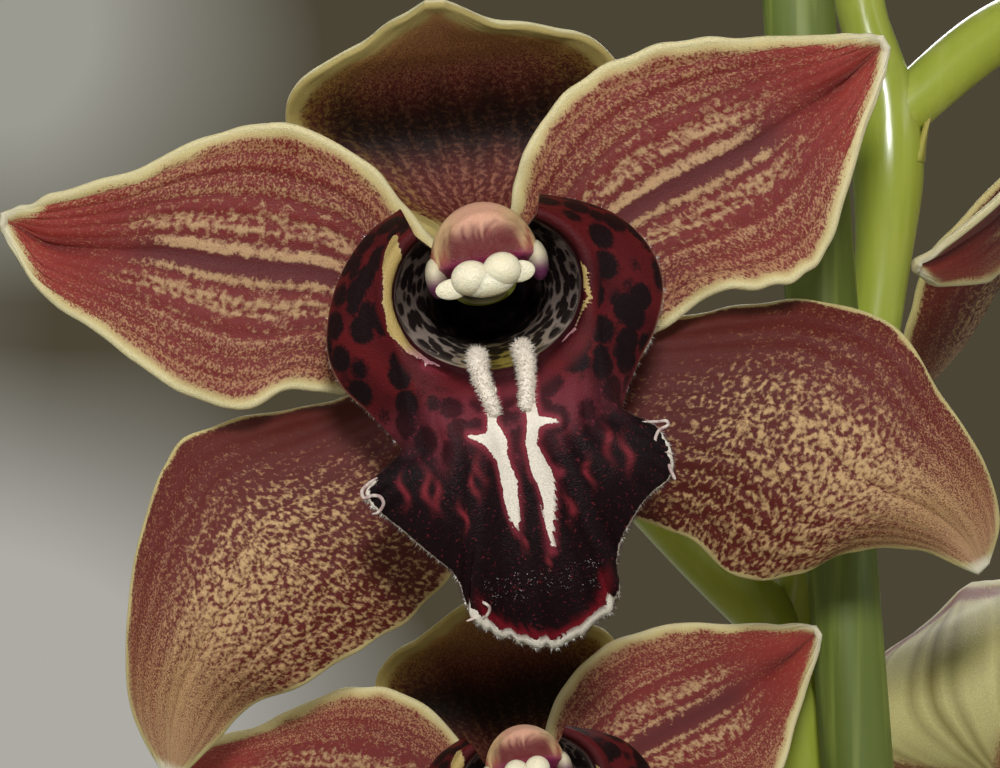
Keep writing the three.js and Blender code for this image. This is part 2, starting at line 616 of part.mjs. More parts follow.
// A bloom as a group that stands where BLOOMS says. The best bloom has a mesh for each tepal, and the
// others have their tepals fused on the small disc they grow from.
function bloom(spec, fine) {
  const group = new THREE.Group();
  bloomMatrix(spec).decompose(group.position, group.quaternion, group.scale);
  const named = (piece) => `${spec.name}_${piece}`;
  if (fine) {
    const tepals = {
      dorsal_sepal: DORSAL_SEPAL, petal_left: PETAL_LEFT, petal_right: PETAL_RIGHT,
      lateral_sepal_left: LATERAL_SEPAL_LEFT, lateral_sepal_right: LATERAL_SEPAL_RIGHT,
    };
    for (const [name, shape] of Object.entries(tepals))
      place(named(name), tepal(shape, 8, 4), "tepal", group);
    place(named("lip"), fuse([lipBlade(8, 20), ...keels()]), "lip", group);
    place(named("column"), column(12, COLUMN_FOOT), "column", group);
    place(named("anther_cap"), antherCap(), "cap", group);
    return group;
  }
  const shapes = [DORSAL_SEPAL, PETAL_LEFT, PETAL_RIGHT, LATERAL_SEPAL_LEFT, LATERAL_SEPAL_RIGHT];
  const hub = solid(new THREE.CylinderGeometry(4.6, 4.6, 2.9, 6).translate(0, -0.85, 0));
  const tepals = fuse([hub, ...shapes.map((shape) => tepal(shape, 4, 2))]);
  place(named("tepals"), tepals, "tepal", group);
  place(named("lip"), lipBlade(4, 10), "lip", group);
  place(named("column"), fuse([column(6, PLAIN_COLUMN_FOOT), plainCap()]), "column", group);
  return group;
}

// A bud stands on its pedicel, longer than wide and pointed at its tip
function bud(spec) {
  const { at, length, radius } = spec;
  const rise = budRise(spec).toArray();
  const line = (s) => at.map((c, k) => c + rise[k] * (SEAT_GAP + s * length));
  const swell = (s) => radius * (1 - 0.35 * s) * (0.34 + 0.66 * Math.sin(Math.PI * (0.12 + 0.86 * s) ** 1.1));
  return solid(tube(line, swell, 7, evenly(4)));
}

// A pseudobulb: an egg, flattened across its fan, with its top cut level for the leaves
function pseudobulb({ at, bulb, fan }, extra = 0, topCut = 0.86) {
  const [long, short, height] = bulb;
  const egg = new THREE.SphereGeometry(1, 10, 6).rotateX(Math.PI / 2);
  egg.scale(long + extra, short + extra, height / 1.7 + extra);
  egg.rotateZ(THREE.MathUtils.degToRad(fan));
  egg.translate(at[0], at[1], MIX_TOP + 0.36 * height);
  const top = MIX_TOP + topCut * height + extra;
  const lid = new THREE.BoxGeometry(200, 200, 200).translate(at[0], at[1], top + 100);
  return solid(egg).subtract(solid(lid));
}

// One strap leaf: keeled, upright at first and arching over, as rings of six points
function leaf({ root, heading, length, width, lean, droop, sway }) {
  const rings = [];
  const fine = 60;
  let [across, rise] = [0, 0];
  let step = 0;
  for (let i = 0; i <= LEAF_STATIONS; i++) {
    const s = i / LEAF_STATIONS;
    for (; step < s * fine; step++) {
      const tilt = mix(lean, droop, (step / fine) ** 1.5);
      across += (length / fine) * Math.cos(tilt);
      rise += (length / fine) * Math.sin(tilt);
    }
    const tilt = mix(lean, droop, s ** 1.5);
    const turned = heading + sway * s * s;
    const out = new THREE.Vector3(Math.cos(turned), Math.sin(turned), 0);
    const side = new THREE.Vector3(-Math.sin(turned), Math.cos(turned), 0);
    const upward = new THREE.Vector3(0, 0, Math.cos(tilt)).addScaledVector(out, -Math.sin(tilt));
    const middle = new THREE.Vector3(...root).addScaledVector(out, across).addScaledVector(UP, rise);
    const half = (width / 2) * Math.min(1, 0.62 + 1.3 * s) * Math.max(0.1, 1 - s ** 5) ** 0.8;
    const fold = mix(0.75, 0.2, Math.min(1, 2 * s));
    const wing = (sign) => {
      const spread = middle.clone().addScaledVector(side, sign * half * Math.cos(fold));
      return spread.addScaledVector(upward, half * Math.sin(fold));
    };
    const lift = (point, amount) => point.clone().addScaledVector(upward, amount).toArray();
    rings.push([
      lift(wing(-1), LEAF_EDGE / 2), lift(middle, LEAF_THICKNESS / 2), lift(wing(1), LEAF_EDGE / 2),
      lift(wing(1), -LEAF_EDGE / 2), lift(middle, -LEAF_THICKNESS), lift(wing(-1), -LEAF_EDGE / 2),
    ]);
  }
  return solid(loft(rings));
}

// A fan: leaves in two ranks on a short neck that sits on the bulb. Inner leaves stand straighter.
function leafFan(shoot, seed) {
  const random = seededRandom(seed);
  const [long, short, height] = shoot.bulb;
  const heading = THREE.MathUtils.degToRad(shoot.fan);
  const across = [-Math.sin(heading), Math.cos(heading)];
  const floor = MIX_TOP + 0.86 * height + SEAT_GAP;
  const neck = new THREE.CylinderGeometry(0.3 * long, 0.56 * long, 34, 8).rotateX(Math.PI / 2);
  neck.scale(0.55, 1, 1).rotateZ(heading).translate(shoot.at[0], shoot.at[1], floor + 17);
  const blades = [solid(neck)];
  for (let i = 0; i < shoot.leaves; i++) {
    const rank = (2 * i) / (shoot.leaves - 1) - 1;
    const outer = Math.abs(rank);
    const offset = 7 * rank;
    blades.push(
      leaf({
        root: [shoot.at[0] + offset * across[0], shoot.at[1] + offset * across[1], floor + 3],
        heading: heading + THREE.MathUtils.degToRad(LEAF_SPREAD * rank + mix(-4, 4, random())),
        length: shoot.reach * mix(1, 0.8, outer) * mix(0.92, 1.04, random()),
        width: LEAF_WIDTH * mix(0.9, 1.05, random()),
        lean: mix(1.36, 1.2, outer) + mix(-0.04, 0.04, random()),
        droop: mix(-0.8, -1.25, random()),
        sway: 0.1 * rank + mix(-0.14, 0.14, random()),
      }),
    );
  }
  const base = new THREE.BoxGeometry(80, 80, 60).translate(shoot.at[0], shoot.at[1], floor - 30);
  return fuse(blades).subtract(solid(base));
}

// A soft tie: a band round the stake and the stem together
function tie(z) {
  const inner = STAKE_RADIUS + SEAT_GAP;
  const [sx, sy] = stakeAt(z);
  const [px, py] = spikeAt(z);
  const span = Math.hypot(px - sx, py - sy);
  const heading = Math.atan2(py - sy, px - sx);
  const track = (radius) => {
    const shape = new THREE.Shape();
    shape.absarc(0, 0, radius, Math.PI / 2, 1.5 * Math.PI);
    shape.absarc(span, 0, radius, -Math.PI / 2, Math.PI / 2);
    shape.closePath();
    const extent = { depth: TIE_BAND, bevelEnabled: false, curveSegments: 4 };
    return new THREE.ExtrudeGeometry(shape, extent);
  };
  const outer = solid(track(inner + TIE_WALL));
  const hole = solid(track(inner).scale(1, 1, 3).translate(0, 0, -TIE_BAND));
  const band = outer.subtract(hole).rotate([0, 0, THREE.MathUtils.radToDeg(heading)]);
  return band.translate([sx, sy, z - TIE_BAND / 2]);
}

const bulbs = [...SHOOTS, BACK_BULB];
// The spike's root stands in a hole of its own shape, a little wider and deeper
function rootHole() {
  const share = spikeShare(MIX_TOP + 30);
  const line = (s) => {
    const [x, y, z] = along(SPIKE_LINE, share * s);
    return [x, y, s === 0 ? z - SEAT_GAP : z];
  };
  return solid(tube(line, (s) => spikeRadius(share * s) + 1.4 * SEAT_GAP, RACHIS_SIDES, evenly(3)));
}

const holes = [...bulbs.map((each) => pseudobulb(each, SEAT_GAP, 1)), stake(SEAT_GAP), rootHole()];

place("pot", pot(), "pot");
place("growing_mix", growingMix(holes), "bark");
place("stake", stake(), "stake");
TIE_HEIGHTS.forEach((z, i) => place(`tie_${i + 1}`, tie(z), "tie"));
place("spike", spike(), "stem");
BLOOMS.forEach((spec, i) => orchid.add(bloom(spec, i === 0)));
BUDS.forEach((spec, i) => place(`bud_${i + 1}`, bud(spec), "bud"));
SHOOTS.forEach((shoot, i) => {
  place(`pseudobulb_${i + 1}`, pseudobulb(shoot), "bulb");
  place(`leaf_fan_${i + 1}`, leafFan(shoot, LEAF_SEEDS[i]), "leaf");
});
place("back_bulb", pseudobulb(BACK_BULB, 0, 0.94), "bulb");

export default orchid;
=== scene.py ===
"""A potted cymbidium orchid in flower, dressed on its packed frame.

Every piece is a surface worked out in millimetres as whole arrays, then laid into a mesh in metres.
A bloom's own frame has +X to the viewer's right, -Y to the viewer and +Z up.
"""

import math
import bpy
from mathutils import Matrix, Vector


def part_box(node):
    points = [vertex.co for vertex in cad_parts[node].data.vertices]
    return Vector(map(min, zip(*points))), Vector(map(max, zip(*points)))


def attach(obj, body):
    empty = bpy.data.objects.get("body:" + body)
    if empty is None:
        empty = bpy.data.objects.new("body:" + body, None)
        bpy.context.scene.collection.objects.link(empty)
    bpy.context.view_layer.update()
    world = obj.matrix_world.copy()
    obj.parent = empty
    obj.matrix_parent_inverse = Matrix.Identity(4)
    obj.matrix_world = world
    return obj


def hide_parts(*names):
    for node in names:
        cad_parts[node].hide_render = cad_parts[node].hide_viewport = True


bl_info = {
    "name": "Potted Cymbidium",
    "version": (1, 0, 0),
    "blender": (4, 5, 0),
    "location": "3D View > Sidebar > Orchid",
    "description": "Makes a potted cymbidium orchid piece by piece on its frame",
    "category": "Add Mesh",
}

import bpy
import numpy as np
from bpy.props import FloatProperty, FloatVectorProperty, IntProperty, PointerProperty
from mathutils import Vector

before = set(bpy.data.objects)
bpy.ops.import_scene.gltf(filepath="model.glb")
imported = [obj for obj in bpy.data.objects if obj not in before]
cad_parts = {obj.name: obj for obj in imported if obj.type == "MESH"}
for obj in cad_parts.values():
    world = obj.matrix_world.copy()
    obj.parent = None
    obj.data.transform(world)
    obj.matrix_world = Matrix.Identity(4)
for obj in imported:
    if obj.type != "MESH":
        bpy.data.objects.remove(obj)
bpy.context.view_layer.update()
POT_LOW, POT_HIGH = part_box("pot")
MM = 0.001
TAU = 2 * math.pi

# The sizes and places the frame was drawn from

PETAL_BELLY = [0, 0.5, 1, 1.5, 1.8, 1.8, 1.5, 1.2, 0.8, 0.4, 0]
LATERAL_BELLY = [0, -2, -4.5, -6.5, -7, -6.5, -5.5, -4, -2, 0]
# Where the edges of each tepal run, claw to tip, how far its belly lies behind them and how deep its
# margin is ruffled (mm)
TEPALS = {
    "dorsal_sepal": {
        "first": [
            [2.4, 0, 3.4], [6.5, 2.5, 7], [13, 4.5, 10.5], [19.5, 5, 15], [21, 2.5, 20],
            [18.6, -2, 25.1], [13.6, -5.5, 27.7], [7.2, -9, 29.4], [1.4, -13, 32.5],
        ],
        "second": [
            [-2.4, 0, 3.4], [-5.5, 2.5, 8], [-11.5, 4.5, 12.5], [-17, 5, 18.5], [-19.3, 2.5, 23.2],
            [-17, -2, 27.3], [-11.6, -5.5, 29.2], [-5.8, -9, 31.3], [-0.8, -13, 32.8],
        ],
        "belly": [0, 2, 4, 5.5, 5.5, 3.5, 1.5, 0.5, 0],
        "ruffle": 0.5,
    },
    "petal_left": {
        "first": [
            [-3.4, -2, 2.8], [-4.9, -4, 6.9], [-7.3, -5.5, 11.2], [-10.8, -6.5, 17], [-17.4, -7, 22],
            [-23.6, -7, 23.4], [-30.2, -6, 22.6], [-37.7, -5, 20.8], [-46.2, -3, 20],
            [-50.6, -2, 19.4], [-53.6, -1, 19],
        ],
        "second": [
            [-4.2, -2, -1.6], [-10.8, -4, -4.5], [-17.6, -4, -8.9], [-23.6, -5.5, -7.4],
            [-30.1, -6, -8.5], [-36, -6, -5.7], [-41.5, -5.5, -0.4], [-45.5, -5, 3.9],
            [-50.4, -3, 8.7], [-53, -2, 14.5], [-54, -1, 17.6],
        ],
        "belly": PETAL_BELLY,
        "ruffle": 0.7,
    },
    "petal_right": {
        "first": [
            [4.2, -2, -1.6], [10, -4, -5], [17.8, -4, -8.6], [25.6, -5.5, -5.4], [31.5, -6, -5.8],
            [36.3, -6, -5.2], [39.9, -5.5, -2.3], [43.1, -5, 3.6], [46.6, -3, 10.1], [49.8, -2, 15.4],
            [51.4, -1, 19],
        ],
        "second": [
            [3.4, -2, 2.8], [4.3, -4, 7.3], [5.7, -5.5, 11.7], [8.2, -6.5, 15.8], [13.1, -7, 20.4],
            [19.4, -7, 23], [27.2, -6, 23.9], [34.7, -5, 23], [43.4, -3, 21.9], [47.9, -2, 21.3],
            [50.8, -1, 20.6],
        ],
        "belly": PETAL_BELLY,
        "ruffle": 0.7,
    },
    "lateral_sepal_left": {
        "first": [
            [-3.7, 0.2, -0.2], [-9, 1, -6], [-18.4, 2, -9.4], [-28.6, 4, -9.6], [-37.7, 5, -10.6],
            [-42.3, 4, -15.9], [-46, 3.5, -23.6], [-48.6, 3, -32.6], [-49.6, 4, -40.6],
            [-47.6, 5, -48.8],
        ],
        "second": [
            [-1.5, 0.2, -3.7], [-3.5, 1, -12], [-5, 2, -22], [-9, 4, -30.5], [-15, 5, -35.6],
            [-22.1, 5, -38.6], [-29.8, 4, -41.4], [-36.2, 4, -42.8], [-40.8, 4, -46.3],
            [-45.9, 5, -49.8],
        ],
        "belly": LATERAL_BELLY,
        "ruffle": 0.4,
    },
    "lateral_sepal_right": {
        "first": [
            [1.5, 0.2, -3.7], [4, 1, -13], [7.8, 2, -24], [13, 4, -29.5], [18.5, 5, -33],
            [22.8, 5, -38.2], [29.2, 4, -39.2], [36.6, 4, -37.6], [44.1, 4, -38.8], [50.9, 5, -43.4],
        ],
        "second": [
            [3.7, 0.2, -0.2], [10.2, 1, -5.2], [18.8, 2, -7.2], [28.5, 4, -7.3], [37.9, 5, -8.3],
            [46.3, 4, -12.9], [49.9, 3.5, -21], [53.4, 3, -29.5], [54.4, 4, -36.8], [52.4, 5, -42.2],
        ],
        "belly": LATERAL_BELLY,
        "ruffle": 0.4,
    },
}

# The lip's free edge, left side lobe round the mid lobe to the right side lobe, and its throat (mm)
LIP_EDGE = [
    [-7.6, -15, 10.1], [-11.5, -15.5, 8.2], [-14.8, -16, 5], [-17.2, -16.5, 1], [-18.5, -17, -4],
    [-17.6, -18, -8.2], [-15, -19, -11.8], [-12.6, -20.5, -15.4], [-12, -21.5, -17],
    [-14.8, -22, -18.4], [-17.1, -22.5, -20.5], [-15.4, -23, -23.2], [-12.4, -23.5, -26.6],
    [-9.2, -23.5, -30.6], [-8.3, -22.5, -34.4], [-7.2, -21.5, -37.2], [-3.6, -20.5, -39.6],
    [0.3, -20, -40.9], [4.4, -20.5, -39.6], [7.9, -21.5, -37.2], [8.7, -22.5, -33],
    [10.4, -23.5, -29.5], [12.9, -23.5, -26.6], [16.3, -23, -24.6], [16.9, -22.5, -21.6],
    [15.4, -22, -18.6], [12.4, -21.5, -17.4], [13, -20.5, -14.8], [15.4, -19, -11.3], [17.9, -18, -8],
    [19.6, -17, -3.6], [19, -16.5, 0.6], [16.4, -16, 4.6], [12.4, -15.5, 7.2], [7.9, -15, 8.9],
]
LIP_RIM = {"centre": [0.3, -0.5], "radii": [11.2, 9.2], "depth": -22.6}
LIP_FOOT = {"centre": [0, -0.4], "radii": [5.4, 5], "depth": -4.2}
LIP_CLAW = {"centre": [0, 0.3], "radii": [3.75, 2.15], "depth": -3.6, "rise": 3.2}
LIP_NECK = {"half": 11, "middle": -19, "side": -15.5, "ends": 0.56}
LIP_WRAP = math.radians(142)  # how far round the throat the lip reaches on each side
SIDE_LOBE_SWELL = 1.0
MID_LOBE_SWELL = 4.2
KEELS = {  # shares across the lip, the rows they run between, rise off the lip and radius (mm)
    "sides": [-0.09, 0.094], "from": 0.36, "to": 0.61, "height": [1.45, 0.4], "radius": [1.3, 0.75],
}
COLUMN_SECTIONS = [  # centre of the axis, half width, reach above and below the axis (mm)
    [0, 0.3, 0, 2.9, 3.2, 1.6], [0, -5, 0.7, 3.2, 3.5, 1.7], [0.1, -11, 1.6, 4.2, 4.2, 1.7],
    [0.3, -17, 2.3, 5.4, 5.6, 1.6], [0.6, -21.5, 2.4, 6.1, 6.8, 1.3], [0.8, -24.2, 2.6, 5, 5.5, 0.7],
]

# Each bloom: foot, turn, nod, roll (degrees), size, height of its node, heading of its pedicel
BLOOMS = {
    "main_bloom": [[-37, -28, 600], 0, 0, -10.5, 1, 556, 205],
    "bloom_2": [[-32.3, -10, 537], 0, -18, -11, 0.78, 514, 190],
    "bloom_3": [[43, 14, 634], 72, 31, -62, 0.92, 622, 8],
    "bloom_4": [[32.5, 24, 533.5], 150, 0, 24, 0.95, 494, 50],
    "bloom_5": [[-36, 8, 470], -62, 10, 4, 0.92, 438, 180],
    "bloom_6": [[50, -14, 454], 58, 12, -5, 0.94, 412, 15],
    "bloom_7": [[-28, -12, 710], -32, 6, 3, 0.9, 680, 215],
    "bloom_8": [[42, 2, 738], 62, 6, -4, 0.84, 706, 0],
    "bloom_9": [[2, 50, 704], 168, 6, 2, 0.86, 656, 95],
}
BUDS = {  # foot, height of its node, heading of its stalk, length, radius
    "bud_1": [[-16, 0, 772], 730, 200, 30, 8.5],
    "bud_2": [[22, 14, 782], 748, 20, 26, 7.2],
    "bud_3": [[2, 6, 800], 770, 220, 21, 5.6],
}
SPIKE_LINE = [
    [17, 26, 146], [18, 23, 180], [22, 15.5, 230], [24, 11.8, 300], [18.5, 11.5, 380], [13, 11.4, 450],
    [7, 11.2, 510], [2.6, 10.8, 556], [12, 10.6, 597], [13.6, 10.6, 623], [9.8, 10.8, 640],
    [11, 11, 664], [7.5, 10.6, 692], [9.5, 10, 720], [6, 9.5, 746], [6.5, 9, 772],
]
SPIKE_TIP = [6, 9]
SHEATHS = [190, 262, 372]  # where the stem's papery sheaths begin
SHEATH_LENGTH = 52
STAKE_FOOT = [49, 2, 26]
STAKE_TOP = [-0.4, 2, 664]
TIE_HEIGHTS = [330, 474]
TIE_WALL = 1.3
TIE_HALF_HEIGHT = 3
SHOOTS = [  # place, heading of its fan, half length, half width and height of its bulb, reach, seed
    [[-48, 8], 178, [20, 16, 66], 490, 381],
    [[-10, -42], 252, [19, 15, 62], 450, 388],
    [[-10, 52], 103, [20, 16, 68], 490, 395],
    [[57, 36], 32, [19, 15, 64], 490, 402],
    [[46, -48], 318, [18, 14, 56], 455, 409],
]
BACK_BULB = [[-52, -44], 310, [17, 14, 50]]
BULB_CUT, BACK_BULB_CUT = 0.86, 0.94  # the share of its height at which a bulb is cut level
LEAVES_A_FAN = 5
LEAF_SPREAD = 32  # degrees between the middle leaf of a fan and its outer ones
LEAF_EASE = 0.4  # how much shorter a leaf is than its solid, so that it stays inside it
FAN_NECK = 34  # height of the folded leaf bases under a fan
RIM_HEIGHT = 22
DRAIN_HOLES = {"count": 6, "ring": 46, "radius": 6}
MIX_TOP = 160
SEAT_GAP = 0.35  # what is left open between pieces that touch

# The camera that took the view: millimetres, and a lens for a 36 mm wide frame 1000 by 768 wide
CAMERA_AT = [-35.26, -478, 589.07]
CAMERA_LENS = 139.32


# What a user may change


def linear(text):
    """Turns an sRGB hex colour into linear light: a straight foot below 0.04 and a 2.4 power above."""
    c = np.array([int(text[i : i + 2], 16) for i in (1, 3, 5)]) / 255
    return np.where(c <= 0.04045, c / 12.92, ((c + 0.055) / 1.055) ** 2.4)


def tone(name, what, text):
    """A colour that a user may change, given as sRGB hex."""
    return FloatVectorProperty(
        name=name, description=what, subtype="COLOR", size=3, min=0, max=1, default=tuple(linear(text))
    )


def span(name, what, millimetres):
    """A length that a user may change, given in millimetres and kept in metres."""
    return FloatProperty(
        name=name, description=what, default=millimetres * MM, min=0.0, unit="LENGTH", precision=4
    )


class OrchidSizes(bpy.types.PropertyGroup):
    """The sizes the pieces are made to"""

    pot_height: FloatProperty(
        name="Pot height", description="Height of the pot, as the frame has it",
        default=POT_HIGH[2], unit="LENGTH",
    )
    pot_top: span("Pot top radius", "Outer radius below the rim", 96)
    pot_foot: span("Pot foot radius", "Outer radius at the underside", 72)
    pot_wall: span("Pot wall", "Thickness of the moulded wall", 2.6)
    stake: span("Stake radius", "Radius of the coated stake", 4.5)
    spike_root: span("Spike root radius", "Radius of the flower stem at its root", 5)
    spike_tip: span("Spike tip radius", "Radius of the flower stem at its tip", 1.9)
    ovary: span("Pedicel radius", "Radius of the stalk behind a full-size bloom", 4.0)
    tepal: span("Tepal thickness", "Thickness of sepals and petals", 1.1)
    lip: span("Lip thickness", "Thickness of the lip at its foot", 0.9)
    leaf_width: span("Leaf width", "Full width of a strap leaf", 27)
    leaf: span("Leaf thickness", "Thickness of a leaf over its keel", 1.9)
    chips: IntProperty(
        name="Bark chips", description="Loose chips of bark on the growing mix", default=330, min=0
    )


class OrchidColours(bpy.types.PropertyGroup):
    """The colours the pieces are painted with"""

    red: tone("Petal red", "Brick red that covers most of a petal", "#772420")
    maroon: tone("Maroon", "Dull maroon of the sepals and of a petal's base", "#5a211d")
    plum: tone("Plum", "Dusky band along a petal's midrib", "#591e1e")
    scarlet: tone("Tip red", "Brighter red of a petal's outer third", "#963028")
    crease: tone("Crease", "Dark line to a petal's tip", "#5c0e0e")
    margin: tone("Margin cream", "Pale yellow rim of every tepal", "#d2c386")
    cream: tone("Inner cream", "Warm cream that shows between the red", "#b8936a")
    tan: tone("Sepal tan", "Tan ground of the lower sepals", "#c09668")
    back: tone("Tepal back", "Yellow green of the tepals' backs", "#dad092")
    lip_red: tone("Lip maroon", "Wine maroon of the lip", "#480d12")
    lip_pink: tone("Lip pink", "Pink red marbling on the lip", "#6e2a34")
    lip_dark: tone("Lip near black", "Near black of the mid lobe and the spots", "#0c0306")
    white: tone("Keel white", "White of the keels, stripes and frill", "#ece2d2")
    ridge: tone("Rim cream", "Cream yellow of the ridge round the throat", "#b39a5e")
    ivory: tone("Anther ivory", "Ivory of the anther cap", "#f0e6c6")
    crimson: tone("Column crimson", "Crimson blush on the column", "#5e0912")
    stem: tone("Stem lime", "Fresh lime green of the flower stem", "#b6bd4c")
    leaf: tone("Leaf green", "Deep green of the leaves", "#416a28")
    bulb: tone("Bulb green", "Yellow green of the pseudobulbs", "#7d8c3f")
    stake: tone("Stake green", "Matt green of the stake's coating", "#68782f")
    pot: tone("Pot", "Dark moulded plastic of the pot", "#24272a")
    bark: tone("Bark", "Brown of the bark chips", "#5f3d27")


# Arrays


def along(points, s):
    """The curve through the listed points at shares s: between two neighbours a cubic whose slopes
    are half the distance between the points on either side, carried on straight past the ends."""
    p = np.asarray(points, float)
    p = np.concatenate([[2 * p[0] - p[1]], p, [2 * p[-1] - p[-2]]])
    s = np.asarray(s, float)
    x = np.clip(s, 0, 1) * (len(p) - 3)
    i = np.minimum(x.astype(int), len(p) - 4)
    t = (x - i).reshape(s.shape + (1,) * (p.ndim - 1))
    a, b, c, d = p[i], p[i + 1], p[i + 2], p[i + 3]
    return b + 0.5 * t * (c - a + t * (2 * a - 5 * b + 4 * c - d + t * (3 * b - a - 3 * c + d)))


def mix(a, b, w):
    """a where w is 0 and b where it is 1, in a straight line between; w may be an array."""
    return a + (b - a) * w


def as_light(colour):
    """A colour as linear light, given as sRGB hex or as linear light already."""
    return linear(colour) if isinstance(colour, str) else np.asarray(colour)


def washes(colour, *layers):
    """A colour with washes laid over it one by one: each is a colour and the share of what lies
    under it that it hides, held from 0 to 1."""
    colour = as_light(colour)
    for over, share in layers:
        colour = colour + (as_light(over) - colour) * np.clip(share, 0, 1)[..., None]
    return colour


def step(low, high, x):
    """0 below low and 1 above high, smooth between: t squared times (3 - 2t). high may be the lower."""
    t = np.clip((x - low) / (high - low), 0, 1)
    return t * t * (3 - 2 * t)


def unit(v):
    """Each vector of v at length 1."""
    return v / np.maximum(np.linalg.norm(v, axis=-1, keepdims=True), 1e-12)


def bump_at(x, centre, width):
    """A bell: e to the minus square of the distance from centre over width."""
    return np.exp(-(((x - centre) / width) ** 2))


def waves(x, seed, count=4):
    """A wandering line about 0: the mean of sines whose rates and phases come from the seed."""
    rng = np.random.default_rng(seed)
    rates, phases = rng.uniform(0.6, 2.4, count), rng.uniform(0, TAU, count)
    return np.mean([np.sin(r * x + p) for r, p in zip(rates, phases)], axis=0)


def eased(count, ends=1.5):
    """count + 1 places from -1 to 1 that crowd towards both ends: 1 - (1 - |x|) to a power."""
    x = np.linspace(-1, 1, count + 1)
    return np.sign(x) * (1 - (1 - np.abs(x)) ** ends)


def distance(points, line, dense=6):
    """How far each point is from a bent line, in the line's own number of axes."""
    line = np.asarray(line, float)
    s = np.linspace(0, 1, dense * (len(line) - 1) + 1)
    x = s * (len(line) - 1)
    i = np.minimum(x.astype(int), len(line) - 2)
    spots = line[i] + (line[i + 1] - line[i]) * (x - i)[:, None]
    flat = points.reshape(-1, line.shape[1])
    squares = (flat**2).sum(1)[:, None] - 2 * flat @ spots.T + (spots**2).sum(1)
    nearest = squares.argmin(1)
    gap = np.sqrt(np.maximum(squares[np.arange(len(flat)), nearest], 0))
    return gap.reshape(points.shape[:-1]), s[nearest].reshape(points.shape[:-1])


def xyz(x, y, z):
    """One array of points from their three coordinates, each spread over the same grid."""
    return np.stack(np.broadcast_arrays(x, y, z), -1)


def placed(x, y, z, heading, at):
    """Points turned by a heading about Z, then moved to a place. Only their z stays as it is."""
    c, s = math.cos(heading), math.sin(heading)
    return xyz(at[0] + x * c - y * s, at[1] + x * s + y * c, z)


def quads(rows, cols, wrap=False, flip=False):
    """The four corners of each cell of a rows by cols grid of points. wrap joins the last column
    to the first. The face looks along (step down the rows) x (step along the columns)."""
    i = np.arange(rows - 1)[:, None] * cols
    j = np.arange(cols if wrap else cols - 1)[None, :]
    a, b = i + j, i + (j + 1) % cols
    order = [a, b, b + cols, a + cols] if flip else [a, a + cols, b + cols, b]
    return np.stack(np.broadcast_arrays(*order), -1).reshape(-1, 4)


def part(co, faces, slot=0, **paint):
    """One closed surface of a piece: its points, its faces, the material slot they take and its
    paint. The faces are turned over where the volume they enclose comes out negative."""
    co = co.reshape(-1, 3)
    a, b, c, d = (co[faces[:, k]] - co[0] for k in range(4))
    if (np.cross(a, b) * c + np.cross(a, c) * d).sum() < 0:
        faces = flipped(faces)
    return {"co": co, "faces": faces, "slot": slot, "paint": paint}


def flipped(faces):
    """The same faces looking the other way. A triangle keeps its third corner twice."""
    short = (faces[:, 2] == faces[:, 3])[:, None]
    return np.where(short, faces[:, [1, 0, 2, 2]], faces[:, ::-1])


def sheet(middle, half):
    """A closed sheet: front = middle + normal x half, back = middle - normal x half, and a band
    round the border. The normal is (step along u) x (step along v). Returns points and faces."""
    nu, nv = middle.shape[:2]
    normal = unit(np.cross(np.gradient(middle, axis=0), np.gradient(middle, axis=1)))
    co = np.stack([middle + normal * half[..., None], middle - normal * half[..., None]])
    faces = [quads(nu, nv), quads(nu, nv, flip=True) + nu * nv]
    rim = np.concatenate([
        np.arange(nu - 1) * nv, (nu - 1) * nv + np.arange(nv - 1),
        np.arange(nu - 1, 0, -1) * nv + nv - 1, np.arange(nv - 1, 0, -1),
    ])
    nxt = np.roll(rim, -1)
    faces.append(np.stack([rim, rim + nu * nv, nxt + nu * nv, nxt], -1))
    return co, np.concatenate(faces)


def tube(line, radius, sides):
    """A closed tube: rings of the given radii square to the line, each ring turned as little as
    may be from the last, with both ends drawn in to a point. Returns points and faces."""
    forward = unit(np.gradient(line, axis=0))
    side = np.cross([1, 0.01, 0.02], forward[0])
    frames = []
    for f in forward:
        side = unit(side - f * (side @ f))
        frames.append((side, np.cross(f, side)))
    frames = np.array(frames)
    angle = np.linspace(0, TAU, sides, endpoint=False)
    radius = np.broadcast_to(np.asarray(radius, float).reshape(len(line), -1), (len(line), sides))
    ring = (
        frames[:, None, 0] * np.cos(angle)[:, None] * radius[..., None]
        + frames[:, None, 1] * np.sin(angle)[:, None] * radius[..., None]
    )
    return loft(line[:, None] + ring)


def loft(rings):
    """A closed body through rings of equal count: quads between rings, and at each end a fan to
    the middle of the ring. Returns points and faces."""
    rows, cols = rings.shape[:2]
    co = np.concatenate([rings.reshape(-1, 3), [rings[0].mean(0), rings[-1].mean(0)]])
    j = np.arange(cols)
    k = (j + 1) % cols
    low, high = rows * cols, rows * cols + 1
    first = np.stack([np.full(cols, low), k, j, j], -1)
    last = np.stack([np.full(cols, high), (rows - 1) * cols + j, (rows - 1) * cols + k], -1)
    last = np.concatenate([last, last[:, -1:]], -1)
    return co, np.concatenate([quads(rows, cols, wrap=True, flip=True), first, last])


def egg(centre, radii, rows, cols):
    """A closed egg: centre + radii x (sine of one angle x cosine and sine of the other, minus cosine
    of the first). Returns points and faces."""
    pole = 0.04  # angle left open at each pole, which the loft closes
    polar = np.linspace(pole, math.pi - pole, rows)[:, None]
    turn = np.linspace(0, TAU, cols, endpoint=False)[None, :]
    shape = xyz(np.sin(polar) * np.cos(turn), np.sin(polar) * np.sin(turn), -np.cos(polar))
    return loft(np.asarray(centre) + shape * np.asarray(radii))


